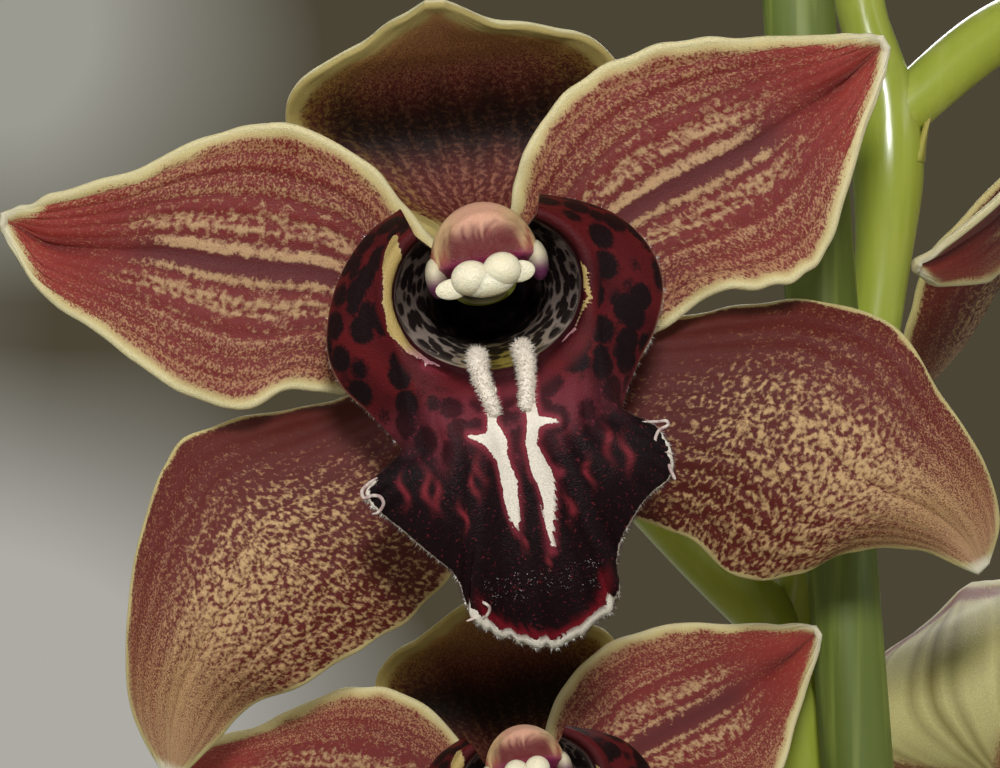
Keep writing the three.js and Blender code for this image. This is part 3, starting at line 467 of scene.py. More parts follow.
def hairs(roots, ways, length, radius, slot, **paint):
    """Fine tapered hairs: each has three feet round its root, square to its way, and one tip."""
    ways = unit(ways)
    side = unit(np.cross(ways, [0.31, 0.52, 0.79]))
    other = np.cross(ways, side)
    count = len(roots)
    length = np.broadcast_to(length, count)[:, None]
    thirds = (0, TAU / 3, 2 * TAU / 3)
    feet = [roots + radius * (side * math.cos(a) + other * math.sin(a)) for a in thirds]
    co = np.stack([*feet, roots + ways * length], 1)
    base = np.arange(count)[:, None, None] * 4
    corners = np.array([[0, 1, 3, 3], [1, 2, 3, 3], [2, 0, 3, 3], [2, 1, 0, 0]])
    # paint given for each root is carried to its four points
    paint = {key: np.repeat(value, 4, 0) if np.ndim(value) == 2 else value for key, value in paint.items()}
    return part(co, (base + corners).reshape(-1, 4), slot, **paint)


# Pieces

PAINTS = {  # each paint that a point may carry, and its value on a part that has none
    "cover": 0.0, "fine": 0.0, "spots": 0.0,
    "ground": (0, 0, 0), "pale": (0, 0, 0), "skin": (0, 0, 0),
}


def make_piece(name, parts, looks, nodes):
    """Lays the parts into one mesh, in metres, with their paint as attributes, and puts the piece
    on the frame in place of the named nodes. A face that has its third corner twice is a triangle."""
    starts = np.cumsum([0] + [len(p["co"]) for p in parts])
    mesh = bpy.data.meshes.new(name)
    co = np.concatenate([p["co"] for p in parts]) * MM
    faces = np.concatenate([p["faces"] + s for p, s in zip(parts, starts)])
    slots = np.concatenate([np.full(len(p["faces"]), p["slot"]) for p in parts])
    short = faces[:, 2] == faces[:, 3]
    keep = np.ones(faces.shape, bool)
    keep[short, 3] = False
    corners = faces[keep]
    begin = np.concatenate([[0], np.cumsum(keep.sum(1))[:-1]])
    mesh.vertices.add(len(co))
    mesh.vertices.foreach_set("co", co.astype(np.float32).ravel())
    mesh.loops.add(len(corners))
    mesh.loops.foreach_set("vertex_index", corners.astype(np.int32))
    mesh.polygons.add(len(faces))
    mesh.polygons.foreach_set("loop_start", begin.astype(np.int32))
    mesh.polygons.foreach_set("material_index", slots.astype(np.int32))
    mesh.update(calc_edges=True)
    if mesh.validate(clean_customdata=False):
        raise RuntimeError(f"{name}: some faces were not whole")
    mesh.shade_smooth()
    for paint, bare in PAINTS.items():
        if not any(paint in p["paint"] for p in parts):
            continue
        size = np.size(bare)
        kind, field = ("FLOAT", "value") if size == 1 else ("FLOAT_VECTOR", "vector")
        values = [np.reshape(p["paint"].get(paint, bare), (-1, size)) for p in parts]
        values = [np.broadcast_to(v, (len(p["co"]), size)) for v, p in zip(values, parts)]
        layer = mesh.attributes.new(paint, kind, "POINT")
        layer.data.foreach_set(field, np.concatenate(values).astype(np.float32).ravel())
    for look in looks:
        mesh.materials.append(look)
    piece = bpy.data.objects.new(name, mesh)
    bpy.context.scene.collection.objects.link(piece)
    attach(piece, "root")
    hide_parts(*nodes)
    return piece


# Materials


def add(tree, kind, inputs=None, **settings):
    """Adds one shader node with its settings. inputs maps a socket's name or number to a value, to
    the output that feeds it, or to a node whose first live output does. A colour is sRGB hex or
    three numbers of linear light."""
    node = tree.nodes.new("ShaderNode" + kind)
    for key, value in settings.items():
        setattr(node, key, value)
    for key, value in (inputs or {}).items():
        socket = node.inputs[key]
        if isinstance(value, bpy.types.Node):
            value = next(out for out in value.outputs if out.enabled)
        if isinstance(value, bpy.types.NodeSocket):
            tree.links.new(value, socket)
        elif socket.type == "RGBA":
            socket.default_value = (*as_light(value), 1.0)
        else:
            socket.default_value = value
    return node


def material(name):
    """A new material with no nodes, in place of any that had its name, and its node tree."""
    look = bpy.data.materials.get(name)
    if look:
        bpy.data.materials.remove(look)
    look = bpy.data.materials.new(name)
    look.use_nodes = True
    look.node_tree.nodes.clear()
    return look, look.node_tree


def shaded(look, inputs):
    """Ends a material with one shader that has these inputs, and its output. Returns it."""
    shader = add(look.node_tree, "BsdfPrincipled", inputs)
    add(look.node_tree, "OutputMaterial", {"Surface": shader})
    return look


def coats(tree, colour, *layers):
    """Lays coats over a colour. Each is a mask, the level and the softness at which that mask goes
    from 0 to 1, or None where it is used as it is, and the coat's own colour."""
    for mask, cut, over in layers:
        if cut:
            level, soft = cut
            ends = {"From Min": level - soft, "From Max": level + soft}
            mask = add(tree, "MapRange", {"Value": mask, **ends})
        colour = add(tree, "Mix", {0: mask, 6: colour, 7: over}, data_type="RGBA")
    return colour


def flesh(share, reach):
    """The shader's settings for light that sinks into living tissue: how much of it does, and how
    far red, green and blue go, in millimetres."""
    depth = tuple(x * MM for x in reach)
    return {"Subsurface Weight": share, "Subsurface Radius": depth, "Subsurface Scale": 1.0}


def living_skin(name, coarse, small, shader, soft=0.16, dusty=0.5, dots=None):
    """A petal's living skin. Pale cells show through where the red thins out: the cover a point
    carries is set against two grains of noise, coarse and small, counted in the pattern cells of
    the paint called skin. Round dots, a size and a colour, may lie over it. The tiny domed cells
    catch the light."""
    look, tree = material(name)
    place = add(tree, "Attribute", attribute_name="skin").outputs["Vector"]
    cover = add(tree, "Attribute", attribute_name="cover").outputs["Fac"]
    fine = add(tree, "Attribute", attribute_name="fine").outputs["Fac"]
    big = add(tree, "TexNoise", {"Vector": place, "Scale": coarse, "Detail": 2.0, "Roughness": 0.55})
    tiny = add(tree, "TexNoise", {"Vector": place, "Scale": small, "Detail": 1.5, "Roughness": 0.6})
    grain = add(tree, "Mix", {0: fine, 2: big, 3: tiny})
    # the noise keeps within about a third of its middle, so it is spread by 4 before the test
    level = add(tree, "Math", {0: grain, 1: -4.0, 2: cover}, operation="MULTIPLY_ADD")
    ground = add(tree, "Attribute", attribute_name="ground")
    colour = coats(tree, add(tree, "Attribute", attribute_name="pale"), (level, (-1.5, soft), ground))
    if dots:
        size, dark = dots
        spotted = add(tree, "Attribute", attribute_name="spots").outputs["Fac"]
        cell = add(tree, "TexVoronoi", {"Vector": place, "Scale": 1 / size, "Randomness": 0.8})
        edge = add(tree, "Math", {0: tiny, 1: 0.3, 2: cell}, operation="MULTIPLY_ADD")
        dot = add(tree, "MapRange", {"Value": edge, "From Min": 0.81, "From Max": 0.67})
        dot = add(tree, "Math", {0: dot, 1: spotted}, operation="MULTIPLY")
        colour = coats(tree, colour, (dot, None, dark))
    dust = add(tree, "TexNoise", {"Vector": place, "Scale": small * 2.3, "Detail": 1.0})
    shade = add(
        tree, "MapRange", {"Value": dust, "From Min": 0.3, "From Max": 0.7, "To Min": 0.72, "To Max": 1.28}
    )
    colour = add(tree, "Mix", {0: dusty, 6: colour, 7: shade}, data_type="RGBA", blend_type="MULTIPLY")
    relief = add(tree, "Math", {0: big, 1: 0.6}, operation="MULTIPLY")
    relief = add(tree, "Math", {0: dust, 1: relief}, operation="ADD")
    bump = add(tree, "Bump", {"Height": relief, "Distance": 0.22 * MM, "Strength": 0.5})
    return shaded(look, {"Base Color": colour, "Normal": bump, **shader})


def tepal_look():
    """Tepal: a thick waxy petal. It gives a soft satin light with fine glinting cells."""
    shader = {"Roughness": 0.46, "Specular IOR Level": 0.3, **flesh(0.06, (1.2, 0.5, 0.3))}
    return living_skin("waxy_tepal", 1.0, 2.7, shader, soft=0.4)


def lip_look(tones):
    """Lip: velvet skin, spotted on the side lobes with dots 2.9 mm apart. It drinks the light, with
    a faint sheen."""
    shader = {"Roughness": 0.5, "Specular IOR Level": 0.14}
    return living_skin(
        "velvet_lip", 1.1, 2.6, shader, soft=0.14, dusty=0.4, dots=(2.9, tones.lip_dark)
    )


def column_look():
    """Column: smooth waxy flesh. It gives a clear soft highlight on its dome."""
    shader = {"Roughness": 0.34, "Specular IOR Level": 0.3, **flesh(0.12, (1.2, 0.6, 0.4))}
    return living_skin("waxy_column", 1.6, 3.0, shader, dusty=0.25)


def cap_look():
    """Anther cap: dense ivory wax, a little see-through at its thin flaps."""
    shader = {"Roughness": 0.36, **flesh(0.25, (1.2, 0.9, 0.6))}
    return living_skin("ivory_wax", 0.8, 2.0, shader, dusty=0.12)


def hair_look():
    """Hairs: silvery and glassy. Each one is a glint."""
    look, tree = material("silver_hair")
    place = add(tree, "Attribute", attribute_name="skin").outputs["Vector"]
    noise = add(tree, "TexNoise", {"Vector": place, "Scale": 2.2, "Detail": 1.0})
    # painted glints: white where the noise runs high, dark grey elsewhere
    colour = coats(tree, "#6a5552", (noise, (0.55, 0.06), "#fbf8f2"))
    return shaded(look, {"Base Color": colour, "Roughness": 0.25})


def stem_look(tones):
    """Stem: a fresh green stalk with a wax bloom, streaked every 2.4 mm over clouds of 22 mm. A
    clear, narrow highlight runs down it."""
    look, tree = material("green_stalk")
    place = add(tree, "TexCoord").outputs["Object"]
    long = add(tree, "Mapping", {"Vector": place, "Scale": (1.0, 1.0, 0.08)})
    streak = add(tree, "TexNoise", {"Vector": long, "Scale": 420.0, "Detail": 3.0})
    cloud = add(tree, "TexNoise", {"Vector": place, "Scale": 45.0, "Detail": 3.0})
    dry = add(tree, "Attribute", attribute_name="cover").outputs["Fac"]
    colour = coats(
        tree, np.array(tones.stem) * [0.62, 0.74, 0.6],
        (cloud, None, tones.stem),
        (streak, (0.58, 0.1), "#b0ba56"),
        (dry, None, "#b59a5c"),
    )
    return shaded(look, {
        "Base Color": colour, "Roughness": 0.28, "Coat Weight": 0.25, "Coat Roughness": 0.12,
        "Normal": add(tree, "Bump", {"Height": streak, "Distance": 0.2 * MM, "Strength": 0.5}),
        **flesh(0.1, (1.0, 1.4, 0.4)),
    })


def leaf_look(tones):
    """Leaf: a tough strap with long veins about 1 mm apart. A broad gloss lies along it."""
    look, tree = material("strap_leaf")
    # the skin of a leaf counts millimetres along it and across it
    place = add(tree, "Attribute", attribute_name="skin").outputs["Vector"]
    long = add(tree, "Mapping", {"Vector": place, "Scale": (0.02, 1.1, 1.0)})
    veins = add(tree, "TexNoise", {"Vector": long, "Scale": 1.0, "Detail": 3.0})
    cloud = add(tree, "TexNoise", {"Vector": place, "Scale": 0.035, "Detail": 4.0})
    speck = add(tree, "TexNoise", {"Vector": place, "Scale": 1.7, "Detail": 2.0})
    colour = coats(
        tree, np.array(tones.leaf) * 0.55,
        (cloud, (0.5, 0.22), tones.leaf),
        (veins, (0.56, 0.08), "#4f7a33"),
        (add(tree, "Attribute", attribute_name="pale"), None, "#8fa352"),
        (speck, (0.72, 0.03), "#7d8a45"),
        (add(tree, "Attribute", attribute_name="cover").outputs["Fac"], None, "#a08a48"),
    )
    return shaded(look, {
        "Base Color": colour, "Roughness": 0.36, "Coat Weight": 0.15, "Coat Roughness": 0.2,
        "Normal": add(tree, "Bump", {"Height": veins, "Distance": 0.4 * MM, "Strength": 0.6}),
    })


def bulb_look(tones):
    """Pseudobulb: firm green flesh under dry papery sheaths. Satin, with ribs 2 mm apart."""
    look, tree = material("ribbed_bulb")
    # the skin of a bulb counts millimetres round it and up it
    place = add(tree, "Attribute", attribute_name="skin").outputs["Vector"]
    long = add(tree, "Mapping", {"Vector": place, "Scale": (0.5, 0.03, 1.0)})
    ribs = add(tree, "TexNoise", {"Vector": long, "Scale": 1.0, "Detail": 4.0})
    cloud = add(tree, "TexNoise", {"Vector": place, "Scale": 0.09, "Detail": 4.0})
    sheath = add(tree, "Attribute", attribute_name="cover").outputs["Fac"]
    ragged = add(tree, "Math", {0: ribs, 1: 0.9, 2: sheath}, operation="MULTIPLY_ADD")
    paper = coats(tree, "#6f5230", (ribs, None, "#c3a878"))
    colour = coats(
        tree, np.array(tones.bulb) * 0.6,
        (cloud, (0.5, 0.2), tones.bulb),
        (ribs, (0.55, 0.1), "#94a055"),
        (ragged, (1.0, 0.05), paper),
    )
    return shaded(look, {
        "Base Color": colour, "Roughness": 0.45, "Coat Weight": 0.08, "Coat Roughness": 0.3,
        "Normal": add(tree, "Bump", {"Height": ribs, "Distance": 0.8 * MM, "Strength": 0.7}),
    })


def stake_look(tones):
    """Stake: steel tube in a matt green coating. Even and dull, with draw lines 1.7 mm apart."""
    look, tree = material("coated_stake")
    place = add(tree, "TexCoord").outputs["Object"]
    long = add(tree, "Mapping", {"Vector": place, "Scale": (1.0, 1.0, 0.03)})
    lines = add(tree, "TexNoise", {"Vector": long, "Scale": 600.0, "Detail": 2.0})
    cloud = add(tree, "TexNoise", {"Vector": place, "Scale": 60.0, "Detail": 3.0})
    colour = coats(
        tree, np.array(tones.stake) * 0.7,
        (cloud, None, tones.stake),
        (lines, (0.6, 0.1), "#7f8d3e"),
    )
    return shaded(look, {
        "Base Color": colour,
        "Roughness": add(tree, "Math", {0: cloud, 1: 0.25, 2: 0.38}, operation="MULTIPLY_ADD"),
        "Normal": add(tree, "Bump", {"Height": lines, "Distance": 0.1 * MM, "Strength": 0.5}),
    })


def tie_look():
    """Tie: soft ribbed plant tape. The ribs are about 1 mm apart."""
    look, tree = material("ribbed_tape")
    place = add(tree, "TexCoord").outputs["Object"]
    ribs = add(
        tree, "TexWave", {"Vector": place, "Scale": 320.0, "Distortion": 0.4},
        wave_type="BANDS", bands_direction="Z",
    ).outputs["Fac"]
    cloud = add(tree, "TexNoise", {"Vector": place, "Scale": 300.0, "Detail": 3.0})
    colour = coats(
        tree, "#243a22",
        (ribs, None, "#3c5c37"),
        (cloud, (0.62, 0.08), "#55704c"),
    )
    return shaded(look, {
        "Base Color": colour, "Roughness": 0.6,
        "Normal": add(tree, "Bump", {"Height": ribs, "Distance": 0.3 * MM, "Strength": 0.8}),
    })


def pot_look(tones):
    """Pot: moulded polypropylene. A dull even sheen, an orange-peel skin of 1.1 mm, lime marks that
    run down it and dust."""
    look, tree = material("moulded_pot")
    place = add(tree, "TexCoord").outputs["Object"]
    peel = add(tree, "TexNoise", {"Vector": place, "Scale": 900.0, "Detail": 2.0})
    cloud = add(tree, "TexNoise", {"Vector": place, "Scale": 26.0, "Detail": 5.0})
    long = add(tree, "Mapping", {"Vector": place, "Scale": (1.0, 1.0, 0.12)})
    drips = add(tree, "TexNoise", {"Vector": long, "Scale": 70.0, "Detail": 4.0})
    lime = add(tree, "MapRange", {"Value": drips, "From Min": 0.6, "From Max": 0.72, "To Max": 0.18})
    colour = coats(
        tree, tones.pot,
        (cloud, None, np.array(tones.pot) * 1.7),
        (lime, None, "#8d8a80"),
    )
    return shaded(look, {
        "Base Color": colour,
        "Roughness": add(tree, "Math", {0: cloud, 1: 0.3, 2: 0.3}, operation="MULTIPLY_ADD"),
        "Normal": add(tree, "Bump", {"Height": peel, "Distance": 0.2 * MM, "Strength": 0.35}),
    })


def bark_look(tones):
    """Bark: chipped pine bark, rough and dry, with a grain of 4 mm over bands of 17 mm."""
    look, tree = material("pine_bark")
    place = add(tree, "TexCoord").outputs["Object"]
    rough = add(tree, "TexNoise", {"Vector": place, "Scale": 240.0, "Detail": 6.0, "Roughness": 0.7})
    bands = add(tree, "TexNoise", {"Vector": place, "Scale": 60.0, "Detail": 4.0, "Distortion": 1.5})
    colour = coats(
        tree, np.array(tones.bark) * 0.35,
        (bands, (0.5, 0.2), add(tree, "Attribute", attribute_name="ground")),
        (rough, (0.6, 0.12), "#8f6a47"),
    )
    return shaded(look, {
        "Base Color": colour, "Roughness": 0.92,
        "Normal": add(tree, "Bump", {"Height": rough, "Distance": 1.5 * MM, "Strength": 0.9}),
    })


def floor_look():
    """Floor: pale matt studio board, with a very faint mottle."""
    look, tree = material("pale_board")
    place = add(tree, "TexCoord").outputs["Object"]
    cloud = add(tree, "TexNoise", {"Vector": place, "Scale": 3.0, "Detail": 6.0})
    colour = coats(tree, "#b9b6ae", (cloud, None, "#c6c3bb"))
    return shaded(look, {"Base Color": colour, "Roughness": 0.85})


# The flower


def bloom_frame(spec):
    """Takes points of a bloom's own frame to the orchid's: scaled, rolled about Y, nodded about X,
    turned about Z, then moved to the bloom's foot."""
    at, turn, nod, roll, size = spec[:5]
    a, b, c = (math.radians(x) for x in (turn, nod, roll))
    turned = np.array([[math.cos(a), -math.sin(a), 0], [math.sin(a), math.cos(a), 0], [0, 0, 1]])
    nodded = np.array([[1, 0, 0], [0, math.cos(b), -math.sin(b)], [0, math.sin(b), math.cos(b)]])
    rolled = np.array([[math.cos(c), 0, math.sin(c)], [0, 1, 0], [-math.sin(c), 0, math.cos(c)]])
    matrix = turned @ nodded @ rolled * size
    return lambda p: p @ matrix.T + np.asarray(at, float)


TEPAL_HALF = 15.5  # a paint's millimetres from the midrib to the margin
TEPAL_CELL = [0.62, 0.85]  # a pattern cell of a tepal's skin, along and across it, in mm
HIDDEN = -2.0  # a cover that lets the pale cells show everywhere
SOLID = 2.0  # a cover that hides them
OUTSIDE = -3.0  # stands for a place that a mark doesn't reach


def tepal_middle(shape, u, v):
    """A tepal's middle surface: straight lines between its two edge curves, pushed back by the belly
    times (1 - |v| to the power 2.2), with the margin ruffled by a sine that grows as |v| cubed."""
    a, b = along(shape["first"], u)[:, None], along(shape["second"], u)[:, None]
    belly = along(np.array(shape["belly"], float)[:, None], u)
    p = a + (b - a) * ((v + 1) / 2)[None, :, None]
    wave = np.abs(v) ** 3 * np.sin(math.pi * (5 * u[:, None] + 0.4 * v)) * np.sin(math.pi * u)[:, None]
    p[..., 1] += belly * (1 - np.abs(v) ** 2.2) + shape["ruffle"] * wave
    return p


def band(q, low, high, soft=0.22):
    """1 where q is from low to high, with soft ends."""
    return step(low - soft, low + soft, q) * step(high + soft, high - soft, q)


def rimmed(cover, rim, low, high):
    """The cover brought down to nothing at the margin, over rim distances from low to high."""
    return np.where(rim < high, mix(HIDDEN, cover, step(low, high, rim)), cover)


# Each paint below takes u, from 0 at the claw to 1 at the tip, q, the millimetres across, up, 1 on the
# upper half, and rim, the millimetres to the margin. It returns the cover of red over the pale cells,
# both their colours and how fine the grain is.


def petal_paint(u, q, up, rim, tones, seed):
    """A petal: a dusky midrib band between two cream stripes, rows of cream dashes beside them,
    plain red in the outer third with a dark crease, and a cream rim."""
    side = np.abs(q)
    inner = step(0.08, 0.16, u) * step(0.66, 0.58, u + 0.02 * waves(q * 3, seed))
    width = mix(1.25, 0.95, up)
    cover = np.interp(
        side, [0, 2.3, 2.9, 3.6, 5.3, 6.1, 7.3, 8.0, 9.0, 10.2, 11.4, 13, 15.5],
        [0.95, 0.85, 1.1, 0.5, 0.56, 1.0, 1.12, 0.74, 0.7, 0.95, 0.74, 0.76, 0.66],
    )
    rows = 0.2 * np.cos(TAU * side / 1.5 + 2 * waves(u * 4, seed + 4))
    cover = cover + rows + 0.12 * waves(u * 14 + q, seed + 8)
    cover = mix(cover, 0.85 + 0.2 * np.cos(side * 3.1), step(0.32, 0.12, u))
    cover = mix(cover, 0.02, inner * band(side, width, width + 0.95 - 0.25 * (1 - up), 0.25))
    cover = mix(cover, 1.7, step(width + 0.1, width - 0.25, side) * step(0.74, 0.66, u))
    plain = step(0.58, 0.76, u + 0.04 * waves(q, seed + 1))
    cover = mix(cover, 1.15, plain)
    edge = (0.3 + 0.35 * waves(u * 40, seed + 2)) * mix(0.5, 1.0, up) * mix(1.0, 0.6, step(0.6, 1, u))
    cover = cover - 0.3 * step(edge + 4.2, edge + 1, rim) * (1 - 0.4 * plain)
    cover = rimmed(cover, rim, edge - 0.4, edge + 1.6)
    ground = washes(
        tones.red,
        (tones.maroon, 0.8 * step(0.5, 0.05, u) + 0.25 * waves(q * 1.7, seed + 3)),
        (tones.plum, 0.95 * bump_at(side, 0, 2.3) * step(0.75, 0.6, u)),
        (tones.scarlet, 0.9 * step(0.62, 0.86, u)),
    )
    crease = bump_at(q, 0.4 * np.sin(u * 9), mix(2.6, 1.4, step(0.7, 0.95, u)))
    ground = washes(ground, (tones.crease, crease * step(0.64, 0.8, u)))
    pale = washes(
        tones.cream,
        ("#96553c", 0.75 * step(0.34, 0.1, u) + 0.55 * plain),
        ("#a8744e", 0.65 * step(6.5, 11, side) * (1 - plain)),
        (tones.margin, step(edge + 1.8, edge + 0.3, rim)),
        ("#ece4c8", step(1.1, 0.3, rim) * (0.3 + 0.6 * step(0.8, 1.0, u))),
    )
    fine = 0.35 + 0.5 * step(6, 10, side) + 0.3 * step(0.3, 0.1, u) + 0.5 * plain
    return cover, ground, pale, np.clip(fine - 0.2 * bump_at(side, 4.5, 1.5), 0, 1)


def lateral_paint(u, q, up, rim, tones, seed):
    """A lower sepal: solid maroon at its base, maroon blotches on cream in the middle, and fine
    dots on tan towards its blunt pale tip. Its upper side is mottled finely all along."""
    wander = 0.07 * waves(q * 0.35, seed) + 0.04 * waves(u * 30, seed + 1)
    high = step(0.15, 0.85, up * np.abs(q) / TEPAL_HALF)
    cover = np.interp(
        u + wander, [0, 0.2, 0.34, 0.5, 0.66, 0.8, 0.92, 1],
        [1.6, 1.25, 0.98, 0.76, 0.62, 0.5, 0.3, -0.05],
    )
    rows = 0.1 * np.cos(TAU * q / 3.1 + waves(u * 8, seed + 4))
    cover = cover + 0.28 * high * step(0.95, 0.6, u) + rows
    cover = cover - 0.16 * bump_at(q, -3 + 6 * u, 6.0) * step(0.3, 0.45, u) * (1 - high)
    edge = 0.45 + 0.25 * waves(u * 50, seed + 2)
    cover = rimmed(cover, rim, edge - 0.3, edge + 0.7)
    ground = washes(
        tones.maroon,
        (tones.red, 0.45 * step(0.25, 0.7, u)),
        ("#9a5640", 0.75 * step(0.72, 1.0, u)),
    )
    pale = washes(
        "#854634",
        ("#cda876", step(0.14, 0.42, u - 0.12 * high)),
        (tones.tan, 0.6 * step(0.6, 0.8, u)),
        ("#cda47c", 0.85 * step(0.78, 0.96, u)),
        ("#94603f", 0.75 * high * step(1.0, 0.7, u)),
        (tones.margin, step(1.5, 0.4, rim)),
        ("#ece4cc", 0.9 * step(0.955, 0.99, u)),
    )
    fine = np.clip(0.9 * step(0.6, 0.85, u) + 0.6 * high + 0.4 * step(0.3, 0.1, u), 0, 1)
    return cover, ground, pale, fine


def dorsal_paint(u, q, up, rim, tones, seed):
    """The upper sepal: maroon dashes like ladders on a dusky ground, a dark band across its hood,
    fine flecks beyond, and an olive cream rim. Its halves are alike, so up changes nothing."""
    side = np.abs(q)
    cover = np.interp(u, [0, 0.25, 0.4, 0.52, 0.66, 0.8, 1], [0.95, 0.72, 0.8, 0.85, 0.6, 0.5, 0.4])
    cover = cover + 0.3 * np.cos(TAU * side / 1.9) * step(0.62, 0.4, u) - 0.15 * step(7, 14, side)
    edge = 1.2 + 0.4 * waves(u * 40, seed)
    cover = mix(cover, cover - 0.35, step(edge + 3.0, edge, rim))
    cover = rimmed(cover, rim, edge - 0.5, edge + 0.9)
    # painted shadow: a near black band across the hood, where the hood's tip shades the sepal
    hood_shadow = band(u + 0.02 * waves(q * 0.6, seed + 1), 0.36, 0.57, 0.08) * step(16, 10, side)
    ground = washes(
        tones.maroon,
        ("#0e0504", 0.96 * hood_shadow),
        ("#74382a", 0.8 * step(0.6, 0.76, u)),
    )
    pale = washes(
        "#96614c",
        ("#94753a", step(5, 13, side)),
        ("#b88a50", 0.85 * step(0.58, 0.76, u)),
        ("#2c180c", 0.9 * hood_shadow),
        ("#b9a767", step(edge + 1.6, edge - 0.1, rim)),
    )
    return cover, ground, pale, 0.15 + 0.6 * step(0.4, 0.7, u)


def back_paint(u, q, rim, tones, seed):
    """A tepal's back: pale yellow green with fine brown veins, flushed maroon inside its pale rim."""
    vein = np.abs(np.cos(math.pi * q / 2.9 + 0.3 * waves(u * 6, seed))) ** 14
    flush = band(rim, 1.7, 4.8, 1.2) + 0.25 * step(0.55, 0.95, u)
    cover = -0.55 + 1.35 * flush
    cover = rimmed(cover, rim, 0.8, 1.6)
    ground = washes("#9c7a50", ("#8a4c40", 0.7 * flush))
    pale = washes(
        tones.back,
        ("#86743c", 0.75 * vein),
        ("#c09a74", 0.7 * flush),
        ("#dcd2a4", step(1.9, 0.7, rim)),
    )
    return cover, ground, pale, np.full_like(cover, 0.4)


def tepal(name, frame_of, sizes, tones, nu, nv, seed):
    """One tepal as a closed sheet with a half-round margin, painted on both faces: nu rows from its
    claw to its tip, nv columns from one margin to the other."""
    shape = TEPALS[name]
    u = (eased(nu, 1.25) + 1) / 2
    v = eased(nv)
    middle = tepal_middle(shape, u, v)
    uu, vv = np.meshgrid(u, v, indexing="ij")
    width = np.linalg.norm(np.gradient(middle, v, axis=1), axis=-1).mean(1)[:, None]
    length = np.linalg.norm(np.diff(middle[:, nv // 2], axis=0), axis=-1).sum()
    petal, dorsal = name.startswith("petal"), name.startswith("dorsal")
    # the margin's small scallops, the groove over the midrib and the curl at the margin
    edge = np.abs(vv) ** 6
    middle[..., 1] += 0.5 * edge * waves(uu * 28 + vv, seed + 5) * np.sin(math.pi * uu) ** 0.5
    middle[..., 2] += 0.35 * edge * waves(uu * 34 - vv, seed + 6) * np.sin(math.pi * uu) ** 0.5
    groove = (0.9 if petal else 0.5) * bump_at(vv * width, 0, 1.3)
    groove = groove * step(0.45, 0.85, uu) * step(1.0, 0.96, uu)
    ribs = 0.10 * np.cos(TAU * vv * 6.2) * step(1.0, 0.8, np.abs(vv)) * np.sin(math.pi * uu)
    middle[..., 1] += groove + ribs
    line = np.concatenate([middle[:, 0], middle[-1], middle[::-1, -1]])[:: max(1, nu // 90)]
    rim, _ = distance(middle, line, 2)
    q = vv * TEPAL_HALF
    first_up = name in ("petal_left", "lateral_sepal_left")
    up = np.ones_like(vv) if dorsal else step(-0.15, 0.15, -vv if first_up else vv)
    paint = petal_paint if petal else dorsal_paint if dorsal else lateral_paint
    face = paint(uu, q, up, rim, tones, seed)
    back = back_paint(uu, q, rim, tones, seed)
    cells = xyz(uu * length / TEPAL_CELL[0], vv * width.max() / TEPAL_CELL[1], 0.0)
    # each tepal and each face of it takes its pattern from another place
    cells = np.stack([cells + seed * 7.3, cells + seed * 7.3 + 50])
    half_edge = sizes.tepal / MM / 2
    near = np.minimum((1 - np.abs(vv)) * width, np.minimum(1 - uu, uu + 0.02) * length)
    half = half_edge * np.sqrt(1 - np.clip(1 - near / half_edge, 0, 0.97) ** 2)
    co, faces = sheet(middle, half)
    cover, ground, pale, fine = (np.stack([a, b]) for a, b in zip(face, back))
    return part(frame_of(co), faces, 0, cover=cover, ground=ground, pale=pale, fine=fine, skin=cells)


def lip_middle(r, t):
    """The lip's middle surface: for each t across it, the curve through nine points from its claw
    and the ring of its foot, past the rim of its throat, down over the swell and the neck of its
    mid lobe, and out to its free edge."""
    angle = t * LIP_WRAP

    def ring(oval, turned):
        (x, z), (wide, high) = oval["centre"], oval["radii"]
        return xyz(x + wide * np.sin(turned), oval["depth"], z - high * np.cos(turned))

    def between(a, b, share, lift):
        return mix(a, b, share) + xyz(0 * t, lift, 0)

    quarter = np.minimum(np.abs(angle), math.pi / 2)
    claw = ring(LIP_CLAW, np.sign(angle) * quarter)
    claw[..., 2] += LIP_CLAW["rise"] * (np.abs(angle) - quarter) / (LIP_WRAP - math.pi / 2)
    foot, rim, edge = ring(LIP_FOOT, angle), ring(LIP_RIM, angle), along(LIP_EDGE, (t + 1) / 2)
    swell = mix(SIDE_LOBE_SWELL, MID_LOBE_SWELL, np.exp(-((t / 0.42) ** 4)))
    share = np.minimum(1, np.abs(t) / LIP_NECK["ends"])
    wide = LIP_NECK["half"] * np.sign(t) * np.sin(1.35 * share) / math.sin(1.35)
    neck = xyz(
        LIP_RIM["centre"][0] + wide, (rim[..., 1] + edge[..., 1]) / 2,
        mix(LIP_NECK["middle"], LIP_NECK["side"], share**2),
    )
    held = step(0.62, 0.44, np.abs(t))[..., None]
    row = lambda plain, necked, lift: between(plain, necked, held, lift * swell)
    rows = [
        claw, foot, between(foot, rim, 0.42, -1.5), between(foot, rim, 0.86, -0.3),
        between(rim, edge, 0.06, -0.5),
        row(mix(rim, edge, 0.36), mix(rim, neck, 0.6), -0.85),
        row(mix(rim, edge, 0.64), neck, -1.0),
        row(mix(rim, edge, 0.84), mix(neck, edge, 0.55), -0.7), edge,
    ]
    return along(rows, r)


